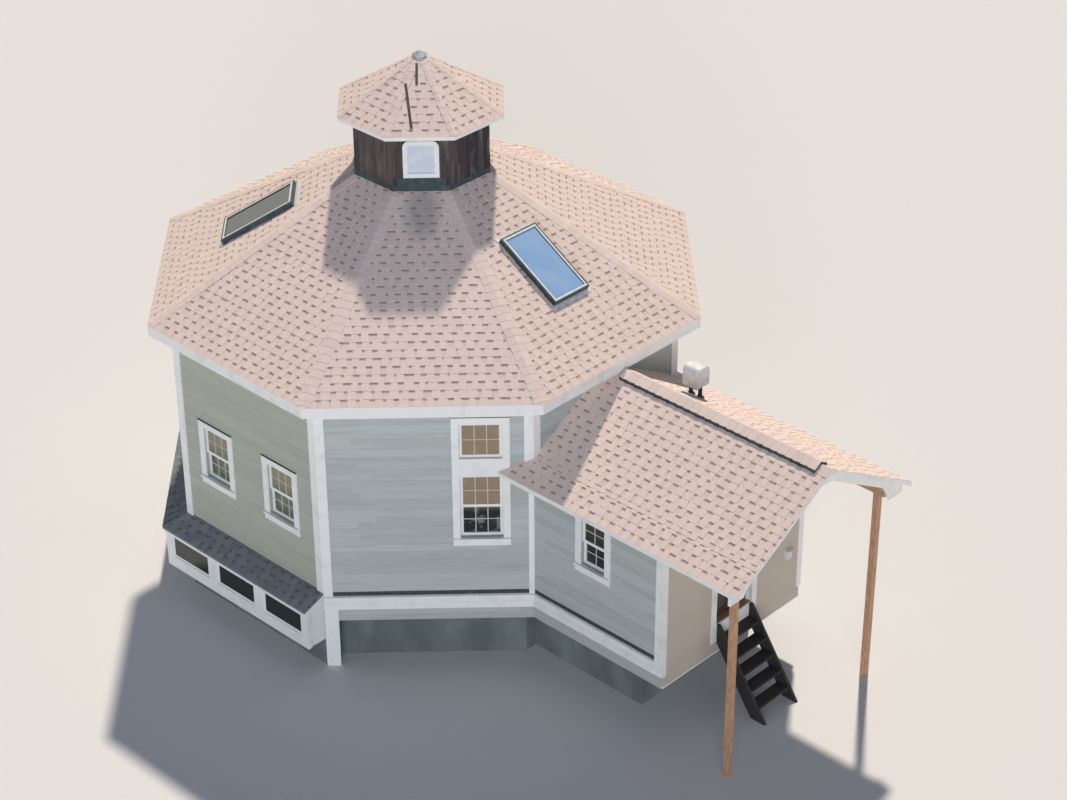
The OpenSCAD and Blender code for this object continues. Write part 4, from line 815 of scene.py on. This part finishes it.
def board_field(tree, place, field, siding, seed, head=None):
    """Courses of clapboards on one field of a wall, level with those of every other field."""
    left, right, low, high = field
    style = {"Exposure": siding.exposure, "Cover": 1.12, "Spacing": siding.board_length, "Fill Low": 0.9994,
             "Fill High": 0.9994, "Row Shift": 0.9, "Butt": siding.thickness, "Tip": 3 * MM, "Vary": 0.12,
             "Material": FINISH["clapboard"]}
    return lay(tree, place @ move(y=low), high - low, (left, right), head or (left, right), style, seed,
               -((low - BAND_TOP - siding.flashing) % siding.exposure))


def all_windows(sizes):
    """Every window of the walls: its wall's place, its offset, width, sill and height, and its side.

    The side is the angle of an octagon's wall, or -1 or 1 for a wall of the wing.
    """
    found = []
    for angle in PAIRED_SIDES:
        for x in (-sizes.window_x, sizes.window_x):
            found.append((wall_place(angle), x, sizes.window_w, sizes.sill, sizes.window_h, angle))
    for angle, x in ((FRONT_LEFT, sizes.tall_x), (FRONT_RIGHT, -sizes.tall_x)):
        found.append((wall_place(angle), x, sizes.tall_w, sizes.tall_sill, sizes.tall_h, angle))
    for side in WING_SIDES:
        found.append((wing_wall_place(side), -side * (WALL + sizes.wing_y), sizes.wing_w, sizes.sill,
                      sizes.wing_h, side))
    return found


def window_holes(sizes, wall):
    """What the windows of one side take up on its wall, with the boards round them."""
    holes = []
    for _, x, width, sill, height, side in all_windows(sizes):
        if side == wall:
            half = width / 2 + sizes.casing
            foot = FLOOR + sill
            holes.append((x - half, x + half, foot - sizes.apron, foot + height + sizes.casing))
    return holes


class HOUSE_OT_clapboards(bpy.types.Operator):
    """Nail clapboards on every wall of the octagon and the wing, and on the rim below them"""
    bl_idname = "house.clapboards"
    bl_label = "Clapboards"

    def execute(self, context):
        siding, sizes = context.scene.house.siding, context.scene.house.windows
        tree = courses_tree()
        low, top = BAND_TOP + siding.flashing, FRIEZE_Z
        wing_edge = WING_RIDGE - WING_EAVE * GRADE - WING_DROP
        inner, far = SIDE_HALF - CORNER, SIDE_HALF - NARROW_CORNER
        fields = []

        def cover(place, free, seed, head=None):
            fields.extend(board_field(tree, place, field, siding, seed, head) for field in free)

        for angle in SIDES:
            if angle == FRONT:
                # Only the two corners above the wing's roof show here
                foot = WING_RIDGE - inner * GRADE
                head = (WING_RIDGE - top) / GRADE
                for x0, x1, ends in ((inner - MM, inner, (head, inner)),
                                     (-inner, MM - inner, (-inner, -head))):
                    cover(wall_place(FRONT), [(x0, x1, foot, top)], seed=31, head=ends)
                continue
            left, right = -inner, inner
            holes = window_holes(sizes, angle)
            if angle in (FRONT_LEFT, FRONT_RIGHT):
                side = 1 if angle == FRONT_LEFT else -1
                holes = [(*holes[0][:3], top), (*sorted((side * inner, side * far)), wing_edge, top)]
                left, right = sorted((-side * inner, side * far))
            cover(wall_place(angle), free_rectangles(left, right, low, top, holes), seed=40 + angle)
        for angle in BAND_SIDES:
            cover(wall_place(angle), [(-SIDE_HALF, SIDE_HALF, RIM_FOOT, BAND_FOOT)], seed=55)
        piece("octagon_clapboards", fields)

        fields.clear()
        under = WING_RIDGE - WING_HALF * GRADE - WING_DROP
        for side in WING_SIDES:
            place = wing_wall_place(side)
            ends = sorted((-side * (WALL + TRIM + 5 * MM), -side * (WING_FRONT - CORNER)))
            cover(place, free_rectangles(*ends, low, under, window_holes(sizes, side)), seed=61)
            ends = sorted((-side * WALL, -side * WING_FRONT))
            cover(place, [(*ends, RIM_FOOT, BAND_FOOT)], seed=62)
        frame_low, frame_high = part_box("door_frame")
        hole = (frame_low.x, frame_high.x, BAND_FOOT, frame_high.z)
        inner = WING_HALF - NARROW_CORNER
        shoulder = WING_RIDGE - inner * GRADE - WING_DROP
        place = wing_wall_place(0)
        foot = RIM_FOOT + 35 * MM
        cover(place, free_rectangles(-inner, inner, BAND_FOOT, shoulder, [hole]), seed=71)
        cover(place, [(-WING_HALF, WING_HALF, foot, BAND_FOOT)], seed=71)
        point = 30 * MM
        cover(place, [(-inner, inner, shoulder, shoulder + (inner - point) * GRADE)], seed=72,
              head=(-point, point))
        piece("wing_clapboards", fields)
        return {"FINISHED"}


def strip(out, low, high, rise=0.0, back=0.0, hollow=0.0):
    """The outline of a strip from its back to its outer edge, with its top and underside sloped."""
    return [(back, low + hollow), (out, low), (out, high), (back, high + rise)]


class HOUSE_OT_trim(bpy.types.Operator):
    """Fit the lower band board, the dark sheet metal over the bands and windows, partly painted shade, and
    the foot board
    """
    bl_idname = "house.trim"
    bl_label = "Trim and flashing"

    def execute(self, context):
        siding, sizes = context.scene.house.siding, context.scene.house.windows
        proud, lap, sheet, lip = TRIM + 8 * MM, 4 * MM, 5 * MM, 12 * MM
        lower = strip(proud, BAND_FOOT + lap, BAND_FOOT + siding.band_joint - lap, lap, TRIM - 2 * MM)
        bands, strips, caps = [], [], []
        for angle in BAND_SIDES:
            mitre = [HALF, HALF]
            if angle in (FRONT_LEFT, FRONT_RIGHT):
                mitre[angle == FRONT_LEFT] = -HALF
            bands.append(run(wall_place(angle), -SIDE_HALF, SIDE_HALF, lower, FINISH["white"], mitre))
        for side in WING_SIDES:
            ends = sorted((-side * WALL, -side * (WING_FRONT - CORNER)))
            mitre = (0.0, -HALF) if side > 0 else (-HALF, 0.0)
            bands.append(run(wing_wall_place(side), *ends, lower, FINISH["white"], mitre))
        foot = strip(TRIM, RIM_FOOT, RIM_FOOT + 30 * MM, sheet)
        bands.append(run(wing_wall_place(0), -WING_HALF, WING_HALF, foot, FINISH["white"]))
        piece("lower_band_boards", bands)

        inner, far = SIDE_HALF - CORNER, SIDE_HALF - NARROW_CORNER
        top = BAND_TOP + siding.flashing
        # Over the band boards a dark flashing strip, tall enough that it also paints the shade line under
        # the lowest clapboard
        # Every side but the front, where the wing stands
        for angle in SIDES[1:]:
            foot = PENT_TOP - 10 * MM if angle in PENT_SIDES else BAND_TOP - lap
            strips.append(run(wall_place(angle), -far if angle == FRONT_RIGHT else -inner,
                              far if angle == FRONT_LEFT else inner, strip(sheet, foot, top),
                              FINISH["flashing"]))
        for side in WING_SIDES:
            ends = sorted((-side * (WALL + TRIM), -side * (WING_FRONT - CORNER)))
            strips.append(run(wing_wall_place(side), *ends, strip(sheet, BAND_TOP - lap, top),
                              FINISH["flashing"]))
        piece("wall_flashing_and_shade_strip", strips)

        for place, x, width, sill, height, angle in all_windows(sizes):
            half = width / 2 + sizes.casing + lap
            head = FLOOR + sill + height + sizes.casing
            # At the tall windows the dark cap sits just under the frieze, as painted shade of the line there
            if angle in (FRONT_LEFT, FRONT_RIGHT):
                head = FRIEZE_Z - 16 * MM
            caps.append(run(place, x - half, x + half, strip(TRIM + lip, head, head + sheet, 9 * MM),
                            FINISH["flashing"]))
        box_low, box_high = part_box("wall_box")
        hood = strip(95 * MM, box_high.z - lip, box_high.z - lap, 24 * MM, hollow=lip)
        caps.append(run(wing_wall_place(0), box_low.x - lip, box_high.x + lip, hood, FINISH["vent"]))
        piece("drip_caps_and_shade_lines", caps)
        return {"FINISHED"}


class HOUSE_OT_cupola_boards(bpy.types.Operator):
    """Stand upright boards round the cupola, beside and over its windows"""
    bl_idname = "house.cupola_boards"
    bl_label = "Cupola boards"

    def execute(self, context):
        siding, sizes = context.scene.house.siding, context.scene.house.windows
        tree = courses_tree()
        style = {"Exposure": siding.upright_width, "Cover": 0.955, "Spacing": 3.0, "Butt": 17 * MM,
                 "Tip": 17 * MM, "Vary": 0.4, "Material": FINISH["upright"]}
        half = CUPOLA * HALF
        foot = CUPOLA_FOOT + 90 * MM
        sill = CUPOLA_FOOT + sizes.cupola_sill
        window, apron = sizes.cupola_w / 2, sizes.cupola_apron / 2
        holes = [(-window, window, sill, sill + sizes.cupola_h), (-apron, apron, foot, sill)]
        fields = []
        for number, angle in enumerate(SIDES):
            cuts = holes if angle in CUPOLA_WINDOW_SIDES else []
            for left, right, z0, z1 in free_rectangles(-half, half, foot, CUPOLA_SOFFIT_Z, cuts):
                place = wall_place(angle, CUPOLA) @ move(right) @ QUARTER_TURN
                fields.append(lay(tree, place, right - left, (z0, z1), (z0, z1), style, 90 + number))
        piece("cupola_upright_boards", fields)
        return {"FINISHED"}


class HOUSE_OT_glazing_bars(bpy.types.Operator):
    """Divide every sash into panes"""
    bl_idname = "house.glazing_bars"
    bl_label = "Glazing bars"

    def execute(self, context):
        sizes = context.scene.house.windows
        tree = row_tree()
        depth, level_depth, down = 18 * MM, 16.56 * MM, 2
        fields = []

        def divide(place, width, height, back, across):
            middle = place @ move(0, height / 2, -back)
            step_x, step_y = width / across, height / down
            for count, start, step, size in (
                    (across - 1, (step_x - width / 2, 0.0, 0.0), (step_x, 0.0, 0.0),
                     (sizes.bar, height, depth)),
                    (down - 1, (0.0, step_y - height / 2, 0.0), (0.0, step_y, 0.0),
                     (width, sizes.bar, level_depth))):
                fields.append(grow(tree, middle, {"Count": count, "Start": start, "Step": step, "Size": size,
                                                  "Material": FINISH["sash"]}))

        behind = sizes.set_back + sizes.sash_depth / 2
        for place, x, width, sill, height, angle in all_windows(sizes):
            place = place @ move(x, FLOOR + sill)
            half = (height + sizes.sash) / 2
            inner, clear = width - 2 * sizes.sash, half - 2 * sizes.sash
            across = 2 if angle in WING_SIDES else 3
            divide(place @ move(y=height - half + sizes.sash), inner, clear, behind, across)
            divide(place @ move(y=sizes.sash), inner, clear, behind + sizes.sash_depth, across)
            if angle in (FRONT_LEFT, FRONT_RIGHT):
                divide(place @ move(y=height + sizes.tall_rail + sizes.sash), inner,
                       sizes.light_h - 2 * sizes.sash, behind, across)
        piece("glazing_bars", fields)
        return {"FINISHED"}


class HOUSE_OT_skylight_cladding(bpy.types.Operator):
    """Clad the tops of the skylights' frames and lay the aprons below and above them"""
    bl_idname = "house.skylight_cladding"
    bl_label = "Skylight cladding"

    def execute(self, context):
        roof = context.scene.house.roof
        top, low, sheet, cover, frame_w, side_lap = 90 * MM, 8 * MM, 5 * MM, 34 * MM, 60 * MM, 30 * MM
        glass_x, glass_y = SKYLIGHT_HALF_W - frame_w, SKYLIGHT_HALF_L - frame_w
        fields = []
        for angle in SKYLIGHT_SIDES:
            place = slope_place(angle, EAVE, EAVE_Z, ROOF_PITCH) @ move(y=SKYLIGHT_Y)
            across = place @ QUARTER_TURN
            for side in (-1, 1):
                for spot, start, wide, reach, z, thick in (
                        (place, glass_x, cover, glass_y, top, sheet),
                        (across, glass_y, cover, glass_x + cover, top, sheet),
                        (across, SKYLIGHT_HALF_L, roof.apron, SKYLIGHT_HALF_W + side_lap, low, 2 * sheet)):
                    x0, x1 = sorted((side * start, side * (start + wide)))
                    fields.append(board(spot, (x0, -reach, z), (x1, reach, z + thick), FINISH["lead"]))
        piece("skylight_cladding", fields)
        return {"FINISHED"}


class HOUSE_OT_roof_fittings(bpy.types.Operator):
    """Set the boots of the roof vent and two thin dark brown strips on the cupola's roof"""
    bl_idname = "house.roof_fittings"
    bl_label = "Roof fittings"

    def execute(self, context):
        vent_low, vent_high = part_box("roof_vent")
        x, y = (vent_low.x + vent_high.x) / 2, (vent_low.y + vent_high.y) / 2
        leg, gap, reach = 34 * MM, 95 * MM, 212 * MM
        skirt, neck = leg + 38 * MM, leg + 12 * MM
        profile = ((skirt, -30 * MM), (skirt, 4 * MM), (neck, 22 * MM), (leg, 60 * MM), (leg, reach),
                   (leg - MM, reach))
        boots = [turned(move(x, y + side * gap, WING_RIDGE - x * GRADE), profile, FINISH["flashing"])
                 for side in (-1, 1)]
        piece("vent_boots", boots)

        slope = slope_place(FRONT_LEFT, CUPOLA_EAVE, CUPOLA_EAVE_Z, CUPOLA_PITCH)
        under, over = 9 * MM, 16 * MM
        straps = []
        # Two thin dark brown strips down the cupola's front left slope, where two dark lines run down it
        for start, end, width in (((-0.222, 0.984), (-0.13, 0.152), 42 * MM),
                                  ((-0.046, 1.36), (-0.047, 0.955), 40 * MM)):
            line = Vector(end) - Vector(start)
            lean = math.atan2(line.y, line.x) - math.radians(90)
            place = slope @ move(*start) @ Matrix.Rotation(lean, 4, "Z")
            straps.append(board(place, (-width / 2, 0.0, under), (width / 2, line.length, over),
                                FINISH["strap"]))
        piece("cupola_straps", straps)
        return {"FINISHED"}


class HOUSE_OT_porch_rafters(bpy.types.Operator):
    """Hang the rafters under the porch's roof"""
    bl_idname = "house.porch_rafters"
    bl_label = "Porch rafters"

    def execute(self, context):
        tree = row_tree()
        count, width, height = 4, 45 * MM, 90 * MM
        wall_gap, arch_gap, ridge_gap = 90 * MM, 60 * MM, 40 * MM
        near, far = WING_FRONT + wall_gap, -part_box("gable_arch")[1].y - arch_gap
        step = (far - near) / (count - 1)
        low, high = [(WING_EAVE - x) / math.cos(ROOF_PITCH) for x in (WING_HALF - wall_gap, ridge_gap)]
        fields = [grow(tree, wing_slope_place(side), {
            "Count": count, "Start": (-side * near, (low + high) / 2, -WING_ROOF - height / 2 - MM),
            "Step": (-side * step, 0.0, 0.0), "Size": (width, high - low, height),
            "Material": FINISH["sheathing"]}) for side in WING_SIDES]
        piece("porch_rafters", fields)
        return {"FINISHED"}


class HOUSE_OT_stage(bpy.types.Operator):
    """Set the camera, the lamps and the pale floor"""
    bl_idname = "house.stage"
    bl_label = "Stage"

    def execute(self, context):
        sizes = context.scene.house.stage
        scene = context.scene
        # The camera's place and its axes in the house's frame, solved from the octagon's corners
        eye = Vector((-25.9161, -27.3987, 25.8091))
        forward = Vector((0.63541, 0.57297, -0.51765))
        right = Vector((0.67368, -0.73896, 0.00901))
        up = right.cross(forward)
        # The ray through the middle of the house, against the focal length of the photograph
        focal, middle_x, middle_y = 740.55, -20.5, -7
        aim = (forward + right * (middle_x / focal) + up * (middle_y / focal)).normalized()
        side = aim.cross(up).normalized()
        lift = side.cross(aim)
        camera = bpy.data.objects.new("camera", bpy.data.cameras.new("camera"))
        camera.data.lens = sizes.lens
        camera.data.clip_end = 500
        camera.matrix_world = move(*eye) @ Matrix((side, lift, -aim)).transposed().to_4x4()
        scene.collection.objects.link(camera)
        scene.camera = camera

        for name, strength, spread, colour, travel in (
                ("key", sizes.key, 2.5, "#fff3e4", (-0.505, -0.363, -0.783)),
                ("soft", sizes.soft, 30, "#f1f5ff", (0.66, 0.6, -0.12))):
            lamp = bpy.data.objects.new(name, bpy.data.lights.new(name, "SUN"))
            lamp.data.energy = strength
            lamp.data.angle = math.radians(spread)
            lamp.data.color = linear(colour)[:3]
            lamp.rotation_euler = Vector(travel).to_track_quat("-Z", "Y").to_euler()
            scene.collection.objects.link(lamp)

        world = bpy.data.worlds.new("studio")
        scene.world = world
        world.use_nodes = True
        tree = world.node_tree
        tree.nodes.clear()
        rays = add(tree, "ShaderNodeLightPath").node.outputs
        seen = add(tree, "MAXIMUM", (rays["Is Camera Ray"], rays["Is Glossy Ray"]))
        seen = add(tree, "MAXIMUM", (seen, rays["Is Transmission Ray"]))
        soft = add(tree, "ShaderNodeBackground", (linear("#c2d1f7"), sizes.fill))
        white = add(tree, "ShaderNodeBackground", ((1, 1, 1, 1), 1.0))
        add(tree, "ShaderNodeOutputWorld", (add(tree, "ShaderNodeMixShader", (seen, soft, white)),))

        # Painted studio floor: rolled matt paint, pale and almost even
        made, tree = material("pale_floor", Roughness=0.9, Base_Color=linear("#dededc"))
        dress(made, None, (), noise(tree, 400, 2.0), 0.5, 0.05)
        half_floor = 150
        floor = bpy.data.objects.new("studio_floor", bpy.data.meshes.new("studio_floor"))
        work = bmesh.new()
        bmesh.ops.create_grid(work, x_segments=1, y_segments=1, size=half_floor)
        work.to_mesh(floor.data)
        work.free()
        floor.data.materials.append(made)
        scene.collection.objects.link(floor)
        scene.view_settings.view_transform = "Standard"
        return {"FINISHED"}


OPERATORS = (HOUSE_OT_stage, HOUSE_OT_finishes, HOUSE_OT_octagon_shingles, HOUSE_OT_wing_shingles,
             HOUSE_OT_clapboards, HOUSE_OT_trim, HOUSE_OT_cupola_boards, HOUSE_OT_glazing_bars,
             HOUSE_OT_skylight_cladding, HOUSE_OT_roof_fittings, HOUSE_OT_porch_rafters)


class HOUSE_PT_panel(bpy.types.Panel):
    """Sizes of the house's finish, and the steps that make it"""
    bl_label = "Octagonal house"
    bl_idname = "HOUSE_PT_panel"
    bl_space_type = "VIEW_3D"
    bl_region_type = "UI"
    bl_category = "House"

    def draw(self, context):
        house = context.scene.house
        for group in (house.roof, house.siding, house.windows, house.colours, house.stage):
            for name in group.__annotations__:
                self.layout.prop(group, name)
        for operator in OPERATORS:
            self.layout.operator(operator.bl_idname)


GROUPS = (RoofSizes, SidingSizes, WindowSizes, StageSizes, Colours, HouseSettings)
CLASSES = GROUPS + OPERATORS + (HOUSE_PT_panel,)


def register():
    for item in CLASSES:
        bpy.utils.register_class(item)
    bpy.types.Scene.house = PointerProperty(type=HouseSettings)


def unregister():
    del bpy.types.Scene.house
    for item in reversed(CLASSES):
        bpy.utils.unregister_class(item)


def main():
    register()
    bpy.ops.house.stage()
    bpy.ops.house.finishes()
    bpy.ops.house.octagon_shingles()
    bpy.ops.house.wing_shingles()
    bpy.ops.house.clapboards()
    bpy.ops.house.trim()
    bpy.ops.house.cupola_boards()
    bpy.ops.house.glazing_bars()
    bpy.ops.house.skylight_cladding()
    bpy.ops.house.roof_fittings()
    bpy.ops.house.porch_rafters()


if __name__ == "__main__":
    main()
